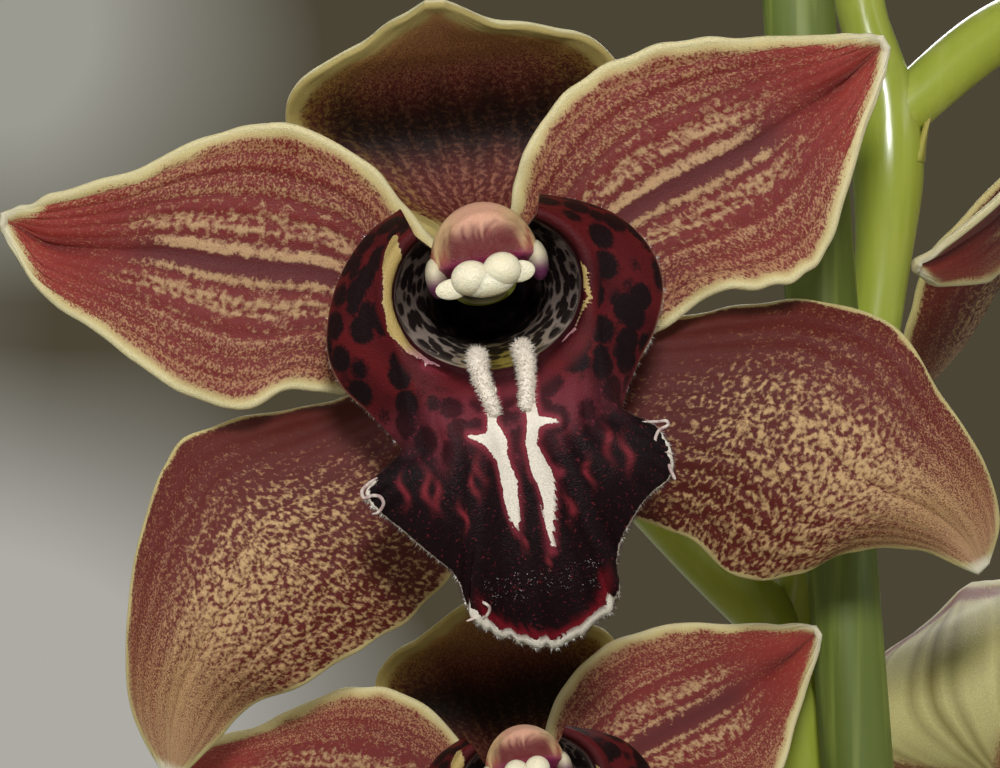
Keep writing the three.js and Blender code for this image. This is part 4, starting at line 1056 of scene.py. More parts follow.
# Marks on the lip as the viewer sees them, [x, z] in mm, with the half width at each point
STRIPES = [
    ([[-1.7, -8.8], [-1.7, -10.4], [-1.5, -12.9], [-2.0, -15.1], [-1.9, -17.1], [-1.6, -19.2],
      [-1.3, -21.8], [-1.4, -24.6], [-1.3, -27.0]], [1.0, 0.95, 0.6, 0.5, 1.3, 0.75, 0.95, 0.75, 0.2]),
    ([[3.1, -9.7], [2.9, -11.2], [2.7, -13.7], [2.7, -15.9], [1.9, -18.1], [2.3, -20.2],
      [2.8, -22.3], [2.7, -24.6], [2.3, -26.8], [2.0, -29.9]],
     [0.9, 0.85, 0.55, 0.8, 0.7, 1.05, 1.05, 0.75, 0.5, 0.2]),
    ([[-1.8, -17.7], [-2.9, -16.8], [-4.7, -16.1]], [0.8, 0.5, 0.15]),
    ([[2.7, -16.0], [4.0, -16.0], [5.2, -16.2]], [0.6, 0.35, 0.05]),
    ([[2.0, -21.2], [3.2, -21.5], [4.4, -21.6]], [0.8, 0.4, 0.1]),
    ([[-8.1, -7.6], [-6.0, -8.8], [-3.6, -9.3]], [0.15, 0.12, 0.2]),
]
RED_GLINTS = [  # place and half size of each painted glint: red highlights on the near black
    [-10.1, -20.8, 1.3], [-9.1, -21.7, 1.0], [-12.7, -20.7, 1.0], [-6.9, -24.6, 0.9],
    [-5.1, -21.3, 1.0], [-4.2, -19.2, 1.2], [4.9, -25.7, 0.9], [7.6, -22.2, 0.9], [11.9, -21.0, 1.2],
    [10.0, -19.3, 1.3], [-1.1, -28.6, 0.7], [1.7, -31.0, 0.6],
]
RIDGES = [  # the cream ridge on either side of the throat
    ([[-8.6, 6.6], [-9.3, 5.1], [-9.9, 2.7], [-10.6, 0], [-10.6, -3.1], [-9.6, -5.5], [-7.8, -7.5],
      [-5.8, -8.6], [-3.4, -9.2]], [0.4, 0.7, 0.8, 0.7, 0.55, 0.4, 0.2, 0.1, 0.08]),
    ([[7.0, 5.7], [8.7, 4.0], [10.6, 2.0], [11.4, -0.4], [11.2, -3.5], [9.2, -6.8], [7.6, -7.9],
      [5.6, -8.7], [4.0, -9.0]], [0.3, 0.4, 0.32, 0.22, 0.2, 0.16, 0.12, 0.08, 0.08]),
]
CURLS = [  # small pale ribbons at the mid lobe's corners and frill, with one half width
    ([[-15.2, -18.7], [-16.5, -19.2], [-17.4, -19.9], [-17.3, -20.7], [-16.3, -20.6], [-15.5, -20.9],
      [-15.3, -21.7], [-16, -22.5], [-16.8, -22.6]], 0.2),
    ([[14.4, -18], [15.9, -18.3], [17, -18.4], [17.1, -18.9], [16, -19.3], [15.4, -20.4],
      [15.9, -21.5], [17.1, -22.1]], 0.18),
    ([[16.4, -23.1], [16.5, -23.9], [16.8, -25]], 0.2),
    ([[-7.9, -34.3], [-6.7, -34.3], [-5.9, -35.1], [-6.5, -36], [-7.6, -36], [-8.7, -36.1]], 0.17),
]
CURL_POINTS = 40
KEEL_HAIRS, EDGE_HAIRS, PAPILLAE = 1500, 3000, 700
HAIR_RADIUS, PAPILLA_RADIUS = 0.06, 0.045  # mm at the foot


def inside(points, line, halves):
    """How far each point is inside a band about a bent line whose half width varies, in mm."""
    gap, s = distance(points, line, 8)
    return np.interp(s, np.linspace(0, 1, len(halves)), halves) - gap


def lip_paint(p, r, t, edge_gap, tones):
    """The lip's face: spotted wine side lobes, a mid lobe that goes from marbled maroon to near
    black with two white stripes, a cream ridge round the throat and a white frill below. p holds
    the points, r their rows from the claw to the edge, t their shares across and edge_gap the
    millimetres to the free edge."""
    flat = p[..., [0, 2]]
    x, z = flat[..., 0], flat[..., 1]
    mid = step(-9, -13, z + 0.12 * np.abs(x))
    dark = step(-16.5, -21.5, z - 0.2 * np.abs(x) + 1.6 * waves(x * 0.9, 3)) * 0.97
    ground = washes(
        tones.lip_red,
        ("#641518", 0.35 + 0.5 * waves(x * 0.5 + z * 0.4, 4)),
        (tones.lip_pink, 0.85 * mid),
        (tones.lip_dark, dark),
        (tones.lip_dark, 0.6 * bump_at(np.abs(t), 0.46, 0.1) * step(-9, -12, z)),
    )
    # painted glints: red highlights streaked down the near black mid lobe
    for gx, gz, size in RED_GLINTS:
        drift = 0.35 * np.sin(1.7 * (z - gz) + gx)
        glint = np.exp(-((x - gx + drift) ** 2) / (0.3 * size) ** 2 - (z - gz) ** 2 / (1.5 * size) ** 2)
        ground = washes(ground, ("#96303a", 0.75 * glint))
    red_rim = band(edge_gap, 1.0, 1.9, 0.35) * step(0.15, 0.11, np.abs(t))
    ground = washes(
        ground,
        ("#7c1420", 0.85 * red_rim),
        ("#b08468", 0.8 * step(0.55, 0.15, edge_gap) * step(-13, -9, z)),
    )
    white = np.max([inside(flat, *stripe) for stripe in STRIPES], axis=0)
    white = np.where(r > 0.5, white, OUTSIDE)
    ground = washes(ground, ("#8c2e3c", 0.7 * bump_at(white, -0.15, 0.3) * (r > 0.5)))
    frill = np.where((t > -0.155) & (t < 0.125), 0.95 + 0.3 * waves(t * 60, 8) - edge_gap, OUTSIDE)
    corner = bump_at(np.abs(t), 0.41, 0.05) * 0.5 + 0.08 + 0.1 * waves(t * 50, 9)
    frill = np.maximum(frill, np.where(r > 0.7, corner - edge_gap, OUTSIDE))
    ridge = np.max([inside(flat, *side) for side in RIDGES], axis=0)
    ridge = ridge + OUTSIDE * step(0.46, 0.40, r) + OUTSIDE * step(0.62, 0.68, r)
    throat = step(0.46, 0.36, r)
    # painted shade: the mouth of the throat is darkened towards near black
    ground = washes(ground, ("#24080e", 0.8 * step(0.34, 0.46, r) * step(0.53, 0.47, r)))
    mask = np.max([white, frill, ridge], axis=0)
    marked = mask > -0.25
    marble = washes(tones.lip_pink, ("#5c161e", 0.8 * dark + 0.5 * (1 - mid)))
    ridge_tone = washes("#b9828a", (tones.ridge, step(-7.5, -4.5, z)))
    mark = washes(tones.white, (ridge_tone, step(-0.6, 0.1, ridge)))
    pale = np.where(marked[..., None], mark, marble)
    plain = 1.0 + 0.3 * (1 - mid) + 0.1 * dark
    cover = np.where(marked, np.clip(0.6 - 14 * mask, HIDDEN, SOLID), plain)
    walls = washes("#a8988c", ("#8a7a34", bump_at(t, 0, 0.18) * step(0.15, 0.3, r)))
    # painted shade: the throat's walls darken deeper in and towards its sides
    painted_throat_shade = np.maximum(step(0.34, 0.14, r), 0.65 * step(0.3, 0.7, np.abs(t)))
    walls = washes(walls, ("#2a1014", painted_throat_shade))
    deep = throat > 0.5
    ground, pale = (np.where(deep[..., None], walls, colour) for colour in (ground, pale))
    cover = np.where(deep, SOLID, cover)
    spots = mix(0.95, 0.72, mid) * step(0.53, 0.57, r) * step(-22, -17, z) * step(0.3, 0.8, edge_gap)
    spots = spots * step(-0.3, -0.9, white) * np.where(mask > -0.3, 0, 1)
    spots = np.maximum(spots, 0.95 * throat)
    fine = np.full_like(r, 0.75) * (1 - throat) + 0.1
    return cover, ground, pale, fine, spots


def painted(frame_of, shape, colour, fine, slot=0, cover=SOLID):
    """A part of one colour, given as its points and faces, that keeps the skin's relief."""
    co, faces = shape
    return part(frame_of(co), faces, slot, cover=cover, ground=colour, pale=colour, fine=fine, skin=co)


def lip_sheet(frame_of, sizes, tones, nr, nt, seed):
    """The lip as a closed sheet with a frilled edge. Returns its part, its middle surface and the
    shares across it that its columns lie at."""
    r = np.linspace(0, 1, nr) ** 0.92
    t = eased(nt - 1, 1.15)
    middle = lip_middle(r, t)
    rr, tt = np.meshgrid(r, t, indexing="ij")
    side = np.abs(tt)
    # the free edge is crimped, most at the foot of the mid lobe and at its corners
    crimp = 0.25 + 0.8 * np.exp(-((tt / 0.2) ** 4)) + 0.9 * bump_at(side, 0.41, 0.06)
    rise = step(0.76, 1.0, rr) ** 2
    folds = 0.7 * waves(tt * 70, seed + 1, 3) + 0.35 * waves(tt * 170, seed + 2, 3)
    middle[..., 1] += rise * crimp * folds
    middle[..., 2] += rise * crimp * 0.4 * waves(tt * 110, seed + 3, 3) * step(0.25, 0.15, side)
    # the mid lobe is quilted by its veins, and the ridge stands up round the throat
    normal = unit(np.cross(np.gradient(middle, axis=0), np.gradient(middle, axis=1)))
    ridge_height = 0.45 * bump_at(rr, 0.5, 0.03) * step(0.12, 0.3, side)
    quilt = 0.22 * np.cos(tt * 46) * step(0.55, 0.7, rr) * step(0.4, 0.3, side)
    middle = middle + normal * (ridge_height + quilt)[..., None]
    edge_gap, _ = distance(middle, middle[-1], 1)
    half = sizes.lip / MM / 2 * (1 - 0.25 * rr)
    half = half * np.sqrt(1 - np.clip(1 - edge_gap / half, 0, 0.95) ** 2)
    co, faces = sheet(middle, half)
    face = lip_paint(middle, rr, tt, edge_gap, tones)
    rear = 0 * rr
    back = [
        rear + 0.15, washes(tones.lip_red, (tones.lip_pink, 0.4 + rear)),
        washes(tones.cream, (tones.white, 0.3 + rear)), rear + 0.5, rear,
    ]
    cover, ground, pale, fine, spots = (np.stack(both) for both in zip(face, back))
    # the pattern is counted finer down the throat
    skin = co * (1 + 0.7 * step(0.46, 0.36, rr))[..., None] + seed * 9.1
    paint = dict(cover=cover, ground=ground, pale=pale, fine=fine, spots=spots, skin=skin)
    return part(frame_of(co), faces, 0, **paint), middle, t


def keel_line(side, seed, count):
    """A keel's middle line, raised off the lip's middle surface along that surface's normal, the
    normals, and its radius, which is rounded over at both ends."""
    s = np.linspace(0, 1, count)
    line, up = [], []
    small = 1e-3
    for row, share in zip(mix(KEELS["from"], KEELS["to"], s), s):
        across = side * mix(1.25, 0.7, share)
        here = lip_middle(np.array([row, row + small]), np.array([across, across]))
        aside = lip_middle(np.array([row]), np.array([across + small]))
        line.append(here[0, 0])
        up.append(np.cross(here[1, 0] - here[0, 0], aside[0, 0] - here[0, 0]))
    line, up = np.array(line), unit(np.array(up))
    line = line + up * mix(*KEELS["height"], s)[:, None]
    rounding = np.sqrt(np.clip(1 - (1 - np.minimum(s, 1 - s) / 0.08).clip(0, 1) ** 2, 0.06, 1))
    size = 0.86 * mix(*KEELS["radius"], s) * rounding * (1 + 0.06 * waves(s * 20, seed))
    return line, up, size


def keel_hairs(frame_of, line, up, size, tones, rng):
    """White hairs that stand out all round a keel's upper side, spread by seeded numbers."""
    s = np.linspace(0, 1, len(line))
    which, about = rng.uniform(0, 1, KEEL_HAIRS), rng.uniform(0, TAU, KEEL_HAIRS)

    def at(rows):
        return np.stack([np.interp(which, s, rows[:, a]) for a in range(3)], -1)

    lift, run = at(up), unit(at(np.gradient(line, axis=0)))
    out = np.cross(run, lift) * np.cos(about)[:, None] + lift * np.sin(about)[:, None]
    way = out + 0.5 * rng.normal(size=(KEEL_HAIRS, 3))
    # each root lies a little inside the keel
    root = at(line) + unit(out) * (np.interp(which, s, size) * 0.94)[:, None]
    return hairs(
        frame_of(root), frame_of(root + way) - frame_of(root), rng.uniform(0.3, 0.75, KEEL_HAIRS),
        HAIR_RADIUS, 0, cover=HIDDEN, ground=tones.white, pale=tones.white, fine=0.4,
    )


def edge_hairs(frame_of, middle, t, rng):
    """Silvery hairs along the lip's free edge, spread and turned by seeded numbers."""
    edge = middle[-1]
    share = np.interp(rng.uniform(-1, 1, EDGE_HAIRS), t, np.arange(len(t)))
    index = share.astype(int).clip(0, len(t) - 2)
    spot = edge[index] + (edge[index + 1] - edge[index]) * (share - index)[:, None]
    out = unit(edge - middle[-4])[index]
    ways = out + 0.6 * rng.normal(size=(EDGE_HAIRS, 3))
    return hairs(
        frame_of(spot - out * 0.1), frame_of(spot + ways) - frame_of(spot),
        rng.uniform(0.35, 0.85, EDGE_HAIRS), HAIR_RADIUS, 1, skin=spot,
    )


def papillae(frame_of, middle, rng):
    """Glinting papillae in a band above the frill, spread by seeded numbers."""
    flat = middle.reshape(-1, 3)
    x, z = flat[:, 0], flat[:, 2]
    near = np.flatnonzero((z > -34.6) & (z < -31.6) & (np.abs(x - 0.5) < 6.5))
    shape = (PAPILLAE, 3)
    spot = flat[rng.choice(near, PAPILLAE)] + rng.normal(size=shape) * [0.25, 0, 0.25]
    ways = frame_of(spot + rng.normal(size=shape) - [0, 2, 0]) - frame_of(spot)
    length = rng.uniform(0.08, 0.22, PAPILLAE)
    return hairs(frame_of(spot - [0, 0.25, 0]), ways, length, PAPILLA_RADIUS, 1, skin=spot)


def curl(frame_of, outline, half, middle, tones):
    """A curled ribbon: a thin tube along an outline that the viewer sees, laid just before the lip,
    with its depth read from the lip at every thirteenth point."""
    path = along(np.array(outline, float), np.linspace(0, 1, CURL_POINTS))
    seen = middle[..., [0, 2]].reshape(-1, 2)
    nearest = ((path[:, None] - seen[None]) ** 2).sum(-1).argmin(1)
    depth = middle[..., 1].reshape(-1)[nearest]
    depth = np.interp(np.arange(CURL_POINTS), np.arange(0, CURL_POINTS, 13), depth[::13]) - 0.5
    ends = np.sqrt(np.clip(1 - np.abs(np.linspace(-1, 1, CURL_POINTS)) ** 6, 0.05, 1))
    shape = tube(xyz(path[:, 0], depth, path[:, 1]), half * ends, 12)
    shade = washes("#9c7076", (tones.white, 0.5 + 0.5 * waves(shape[0][:, 0] * 5, 3)))
    return painted(frame_of, shape, shade, 0.4)


def lip_parts(frame_of, sizes, tones, nr, nt, fine_work, seed):
    """The lip and its two keels. The best bloom's has fine work too: hairs on the keels and along
    the edge, papillae and curls."""
    whole, middle, t = lip_sheet(frame_of, sizes, tones, nr, nt, seed)
    made = [whole]
    rng = np.random.default_rng(seed)
    for k, side in enumerate(KEELS["sides"]):
        line, up, size = keel_line(side, seed + 20 + k, 26 if fine_work else 10)
        co, faces = tube(line, size, 18 if fine_work else 8)
        paint = dict(cover=HIDDEN, ground=tones.white, pale=tones.white, fine=0.4, skin=co + 3)
        made.append(part(frame_of(co), faces, 0, **paint))
        if fine_work:
            made.append(keel_hairs(frame_of, line, up, size, tones, rng))
    if fine_work:
        made += [edge_hairs(frame_of, middle, t, rng), papillae(frame_of, middle, rng)]
        made += [curl(frame_of, outline, half, middle, tones) for outline, half in CURLS]
    return made


def column_parts(frame_of, tones, foot, fine_work):
    """The column: rings lofted along its sections, arched above and flatter below, its front drawn
    in over the anther. It starts no nearer than foot, and fine work gives it a small ear each side."""
    sections = np.array(COLUMN_SECTIONS, float)
    s = np.linspace(0, 1, 44 if fine_work else 16)
    x, y, z, half, above, below = along(sections, s).T
    y = np.minimum(y, foot)
    sides = 44 if fine_work else 14
    angle = np.linspace(0, TAU, sides, endpoint=False)
    up = np.sin(angle)[None]
    lift = np.where(up > 0, above[:, None], below[:, None]) * up
    rings = xyz(x[:, None] + half[:, None] * np.cos(angle), y[:, None], z[:, None] + lift)
    # past the last section the front closes over in a quarter round
    close = np.linspace(0.12, 1, 9 if fine_work else 4)[1:-1] * math.pi / 2
    hub = np.array([x[-1], y[-1], z[-1] + 0.4])
    ends = [
        hub + (rings[-1] - hub) * math.cos(c) + [0, -1.3 * math.sin(c), 0.25 * math.sin(c)] for c in close
    ]
    rings = np.concatenate([rings, ends])
    co, faces = loft(rings)
    cx, cy, cz = co.T
    front = step(-12, -22, cy)
    side = np.abs(cx - 0.6)
    streak = step(0.1, 0.5, waves(cx * 4.2, 5) + 0.25 * waves(cx * 9, 6) - 0.25 * (cz - 5))
    blush = front * step(7.4, 5.0, cz + 0.9 * waves(cx * 5, 7)) * step(5.2, 3.4, side)
    edge = front * step(3.4, 2.2, cz) * step(-20.5, -23, cy)
    ground = washes(
        "#d8a387",
        ("#d9bd84", 0.7 * step(1.5, 4.5, side)),
        ("#a8343c", 0.75 * front * streak * step(8.8, 6.6, cz)),
        (tones.crimson, 0.95 * blush),
        ("#8a2a58", 0.9 * edge),
        ("#cfc9a0", step(-14, -6, cy)),
    )
    paint = dict(cover=SOLID, ground=ground, pale=tones.cream, fine=0.3, skin=co * 1.3)
    made = [part(frame_of(co), faces, 0, **paint)]
    if fine_work:
        for way in (-1, 1):
            ear = egg([0.6 + way * 5.7, -21.4, 1.7], [1.2, 2.6, 2.3], 18, 20)
            shade = washes("#d9cfae", ("#6a3056", step(2.6, 0.4, ear[0][:, 2])))
            made.append(painted(frame_of, ear, shade, 0.3))
    return made


def cap_parts(frame_of, tones, plain, fine_work, slot):
    """The anther cap: two round lobes side by side over a small chin, with a thin flap each side.
    A plain one has only the two lobes."""
    if plain:
        lobes = [([0.5 + d, -25.3, 1.4], [1.9, 1.6, 1.9]) for d in (-1.6, 1.6)]
    else:
        lobes = [
            ([-1.3, -26.3, 0.9], [2.2, 1.8, 1.95]), ([2.2, -26.3, 1.2], [2.15, 1.8, 1.95]),
            ([0.45, -26.15, 0.1], [3.1, 1.6, 1.6]), ([-3.5, -25.9, 0.1], [1.9, 0.5, 1.15]),
            ([4.1, -25.9, 0.7], [1.7, 0.5, 1.2]),
        ]
    made = []
    for centre, radii in lobes:
        lobe = egg(centre, radii, 24 if fine_work else 9, 32 if fine_work else 12)
        # painted shade: each lobe goes from ivory to a darker tan on its underside
        shade = washes(tones.ivory, ("#cdb98a", step(0.4, -1.6, lobe[0][:, 2] - centre[2] + 0.9)))
        made.append(painted(frame_of, lobe, shade, 0.4, slot))
    return made


def make_main_bloom(sizes, tones):
    """The best bloom, a piece for each of its eight nodes."""
    to_orchid = bloom_frame(BLOOMS["main_bloom"])
    tepal_skin, lip_skin, hair = tepal_look(), lip_look(tones), hair_look()
    for seed, name in enumerate(TEPALS):
        one = tepal(name, to_orchid, sizes, tones, 130, 80, seed)
        make_piece(f"orchid_{name}", [one], [tepal_skin], [f"main_bloom_{name}"])
    lip = lip_parts(to_orchid, sizes, tones, 100, 260, True, 11)
    make_piece("orchid_lip", lip, [lip_skin, hair], ["main_bloom_lip"])
    column = column_parts(to_orchid, tones, 0.3, True)
    make_piece("orchid_column", column, [column_look()], ["main_bloom_column"])
    cap = cap_parts(to_orchid, tones, False, True, 0)
    make_piece("orchid_anther_cap", cap, [cap_look()], ["main_bloom_anther_cap"])


def make_other_blooms(sizes, tones):
    """The other blooms, each with its tepals on one disc, its lip, and its column with the cap."""
    tepal_skin, lip_skin = bpy.data.materials["waxy_tepal"], bpy.data.materials["velvet_lip"]
    column_skin, cap_skin = bpy.data.materials["waxy_column"], bpy.data.materials["ivory_wax"]
    # rows and columns of a tepal, finer on the blooms that the camera sees
    detail = {"bloom_2": (84, 48), "bloom_3": (64, 34), "bloom_4": (64, 34)}
    for k, (bloom, spec) in enumerate(list(BLOOMS.items())[1:], 1):
        to_orchid = bloom_frame(spec)
        nu, nv = detail.get(bloom, (46, 24))
        tepals = [
            tepal(name, to_orchid, sizes, tones, nu, nv, seed + 10 * k) for seed, name in enumerate(TEPALS)
        ]
        disc = egg([0, -0.85, 0], [4.6, 1.9, 4.6], 10, 20)
        tepals.append(painted(to_orchid, disc, tones.back, 0.5, cover=HIDDEN))
        make_piece(f"orchid_{bloom}_tepals", tepals, [tepal_skin], [f"{bloom}_tepals"])
        close = bloom == "bloom_2"
        rows, cols = (60, 130) if close else (34, 70)
        lip = lip_parts(to_orchid, sizes, tones, rows, cols, False, 11 + k)
        make_piece(f"orchid_{bloom}_lip", lip, [lip_skin], [f"{bloom}_lip"])
        column = column_parts(to_orchid, tones, -2.6, close) + cap_parts(to_orchid, tones, True, close, 1)
        make_piece(
            f"orchid_{bloom}_column", column, [column_skin, cap_skin], [f"{bloom}_column"]
        )


# Stem, buds, bulbs and leaves


def spike_at(z):
    """The point of the spike's line at a height."""
    s = np.linspace(0, 1, 401)
    line = along(SPIKE_LINE, s)
    return np.array([np.interp(z, line[:, 2], line[:, a]) for a in range(3)]).T


def spike_radius(z, sizes):
    """The stem's radius at a height: it tapers as the share risen to the power 2.2, and swells just
    under each node."""
    line = along(SPIKE_LINE, np.linspace(0, 1, 401))
    s = np.interp(z, line[:, 2], np.linspace(0, 1, 401))
    nodes = [b[5] for b in BLOOMS.values()] + [b[1] for b in BUDS.values()]
    swell = np.max([bump_at(z, n - 5, 9) for n in nodes], axis=0)
    return mix(sizes.spike_root / MM, sizes.spike_tip / MM, s**2.2) * (0.82 + 0.3 * swell)


def stalk(node, leave, end, back, count=34):
    """A stalk's line: a cubic curve that leaves its node on a heading and comes in from behind."""
    start, end = spike_at(node), np.asarray(end, float)
    reach = np.linalg.norm(end - start)
    out = np.array([math.cos(math.radians(leave)), math.sin(math.radians(leave)), 0.8])
    a, b = start + 0.28 * reach * out, end + 0.4 * reach * np.asarray(back)
    s = np.linspace(0, 1, count)[:, None]
    return (1 - s) ** 3 * start + 3 * (1 - s) ** 2 * s * a + 3 * (1 - s) * s * s * b + s**3 * end


def bud_rise(foot):
    """The way a bud points: up, and a little away from the spike's tip."""
    tip_x, tip_y = SPIKE_TIP
    return unit(np.array([0.6 * (foot[0] - tip_x), 0.6 * (foot[1] - tip_y), 26]))


def make_spike(sizes, tones):
    """The flower stem, its stalks, the bracts at its nodes and its papery sheaths."""
    z = np.linspace(SPIKE_LINE[0][2], SPIKE_LINE[-1][2], 360)
    line = spike_at(z)
    co, faces = tube(line, spike_radius(z, sizes), 20)
    parts = [part(co, faces, cover=0.0)]
    for spec in BLOOMS.values():
        to_orchid = bloom_frame(spec)
        size, node, leave = spec[4:]
        end = to_orchid(np.array([0, 1.15, 0]))
        back = unit(to_orchid(np.array([0, 2.0, 0])) - to_orchid(np.array([0, 1.0, 0])))
        path = stalk(node, leave, end, back)
        s = np.linspace(0, 1, len(path))
        radius = size * sizes.ovary / MM * (0.93 + 0.1 * np.sin(math.pi * s))
        angle = np.linspace(0, TAU, 18, endpoint=False)
        ribs = 1 + 0.035 * np.cos(3 * angle) * step(0.15, 0.6, s)[:, None]
        co, faces = tube(path, radius[:, None] * ribs, 18)
        parts += [part(co, faces, cover=0.0), bract(node, leave, sizes)]
    for foot, node, leave, _, radius in BUDS.values():
        path = stalk(node, leave, foot, -bud_rise(foot), 20)
        co, faces = tube(path, np.full(len(path), 0.3 * radius), 12)
        parts += [part(co, faces, cover=0.0), bract(node, leave, sizes)]
    for low in SHEATHS:
        s = np.linspace(0, 1, 24)
        z = low + SHEATH_LENGTH * s
        radius = spike_radius(z, sizes) + 0.3 + 1.1 * np.sin(math.pi * s**0.7)
        co, faces = tube(spike_at(z), radius, 20)
        parts.append(part(co, faces, cover=np.repeat(0.25 + 0.55 * s**2, 20).tolist() + [0.3, 0.8]))
    make_piece("orchid_spike", parts, [stem_look(tones)], ["spike"])


def bract(node, leave, sizes):
    """A small dry scale under a node: a pointed sheet curved round the stem."""
    u, v = np.linspace(0, 1, 10)[:, None], np.linspace(-1, 1, 9)[None, :]
    radius = float(spike_radius(np.array(float(node)), sizes)) + 0.25
    angle = math.radians(leave) + v * 0.9 * (1 - u) ** 0.8
    height = node - 5 + 8.5 * u
    centre = spike_at(float(node) - 5)
    out = radius + 1.5 * u**2
    middle = xyz(centre[0] + out * np.cos(angle), centre[1] + out * np.sin(angle), height)
    co, faces = sheet(middle[:, ::-1], np.full((10, 9), 0.3))
    return part(co, faces, cover=np.broadcast_to(0.35 + 0.5 * u, (2, 10, 9)))


def make_buds(sizes, tones):
    """The closed buds: three sepals folded together, seen as three soft ridges with grooves."""
    skin = bpy.data.materials["waxy_column"]
    for k, (name, spec) in enumerate(BUDS.items()):
        foot, _, _, length, radius = spec
        rise = bud_rise(foot)
        s = np.linspace(0, 1, 40)
        line = np.asarray(foot, float) + rise * (SEAT_GAP + s * length)[:, None]
        swell = radius * (1 - 0.35 * s) * (0.34 + 0.66 * np.sin(math.pi * (0.12 + 0.86 * s) ** 1.1))
        swell *= np.sqrt(np.clip(1 - ((s - 0.9) / 0.1).clip(0, 1) ** 2, 0.03, 1))
        angle = np.linspace(0, TAU, 36, endpoint=False)
        seam = np.abs(np.cos(1.5 * angle + k)) ** 12
        folds = 1 - 0.07 * seam * np.sin(math.pi * s)[:, None] ** 0.5
        co, faces = tube(line, swell[:, None] * folds, len(angle))
        # the loft puts the middles of both ends last
        share = np.concatenate([np.repeat(s, len(angle)), [0, 1]])
        groove = np.concatenate([np.tile(seam, len(s)), [0, 0]])
        ground = washes("#8f9a48", ("#8a4a3a", 0.65 * step(0.2, 1.0, share) + 0.4 * groove))
        paint = dict(cover=0.45 + 0.5 * share, ground=ground, pale=linear("#b8b56a"), fine=0.6)
        bud = part(co, faces, skin=co * 0.8, **paint)
        make_piece(f"orchid_{name}", [bud], [skin], [name])


def make_bulbs(sizes, tones):
    """The pseudobulbs: an egg flattened across its fan and cut level above, with soft long ribs and
    the papery rest of a sheath about its foot."""
    skin = bulb_look(tones)
    bulbs = [(f"pseudobulb_{k + 1}", *s[:3], BULB_CUT) for k, s in enumerate(SHOOTS)]
    bulbs.append(("back_bulb", *BACK_BULB, BACK_BULB_CUT))
    for k, (name, at, fan, (long, short, height), cut) in enumerate(bulbs):
        middle, tall = MIX_TOP + 0.36 * height, height / 1.7
        top = MIX_TOP + cut * height
        high = math.asin((top - middle) / tall)
        polar = np.linspace(math.asin(-0.98), high, 44)[:, None]
        angle = np.linspace(0, TAU, 48, endpoint=False)[None, :]
        ribs = 1 + (0.022 * np.cos(9 * angle + k) + 0.012 * np.cos(17 * angle)) * np.cos(polar) ** 0.5
        ring = np.cos(polar) * ribs
        x, y = long * ring * np.cos(angle), short * ring * np.sin(angle)
        z = middle + tall * np.sin(polar) - 0.8 * step(high - 0.12, high, polar)
        co, faces = loft(placed(x, y, z, math.radians(fan), at))
        up = (co[:, 2] - MIX_TOP) / height
        turn = np.concatenate([np.broadcast_to(angle, x.shape).ravel(), [0, 0]])
        skin_at = np.stack([turn * long, co[:, 2], np.full(len(co), k * 9.0)], -1)
        cover = 0.72 * step(0.55, 0.05, up + 0.12 * np.sin(3 * turn + k))
        make_piece(f"orchid_{name}", [part(co, faces, cover=cover, skin=skin_at)], [skin], [name])


def seeded(seed):
    """Numbers from 0 to 1: each state is the last times 16807, modulo 2147483647."""
    state = seed
    while True:
        state = state * 16807 % 2147483647
        yield state / 2147483647


def leaf_blade(root, heading, length, width, lean, droop, sway, thick, seed):
    """A strap leaf: its middle line is stepped along a tilt that goes from lean to droop as the
    share to the power 1.5. Across it the blade folds up from the keel, less and less towards its
    tip, and is pointed by (1 - share to the fifth)."""
    steps = 60
    s = np.linspace(0, 1, steps + 1)
    tilt = mix(lean, droop, s**1.5)
    run = np.concatenate([[0], np.cumsum(length / steps * np.cos(tilt[:-1]))])
    rise = np.concatenate([[0], np.cumsum(length / steps * np.sin(tilt[:-1]))])
    turned = heading + sway * s * s
    out = xyz(np.cos(turned), np.sin(turned), 0)
    side = xyz(-np.sin(turned), np.cos(turned), 0)
    upward = xyz(0, 0, np.cos(tilt)) - out * np.sin(tilt)[:, None]
    middle = np.asarray(root) + out * run[:, None] + np.array([0, 0, 1]) * rise[:, None]
    half = width / 2 * np.minimum(1, 0.62 + 1.3 * s) * np.maximum(0.1, 1 - s**5) ** 0.8
    fold = mix(0.75, 0.2, np.minimum(1, 2 * s))
    v = eased(12, 1.3)
    blunt = 0.012  # rounds the fold at the keel
    lift = np.sqrt(v * v + blunt) - math.sqrt(blunt)
    wave = 0.6 * np.abs(v) ** 2 * waves(s[:, None] * 22 + 2 * v, seed)
    co = (
        middle[:, None]
        + side[:, None] * (half * np.cos(fold))[:, None, None] * v[None, :, None]
        + upward[:, None] * ((half * np.sin(fold))[:, None] * lift + wave)[..., None]
    )
    thickness = np.broadcast_to(thick / 2 * (1 - 0.5 * np.abs(v) ** 1.5), co.shape[:2]).copy()
    gap = (1 - np.abs(v)) * half[:, None]
    thickness *= np.sqrt(1 - np.clip(1 - gap / thickness, 0, 0.9) ** 2)
    both, faces = sheet(co, thickness)
    place = xyz(s[:, None] * length, half[:, None] * v, seed * 11.0)
    keel = 0.6 * bump_at(half[:, None] * v, 0, 0.8)
    pale = np.stack([keel, 0.25 + keel * 0.8]) + 0.35 * step(0.1, 0.0, s)[:, None]
    age = np.broadcast_to(0.9 * step(0.965, 1.0, s)[:, None], (2, *keel.shape))
    return part(
        both, faces, pale=np.repeat(np.clip(pale, 0, 1)[..., None], 3, -1), cover=age,
        skin=np.stack([place, place + 40]),
    )


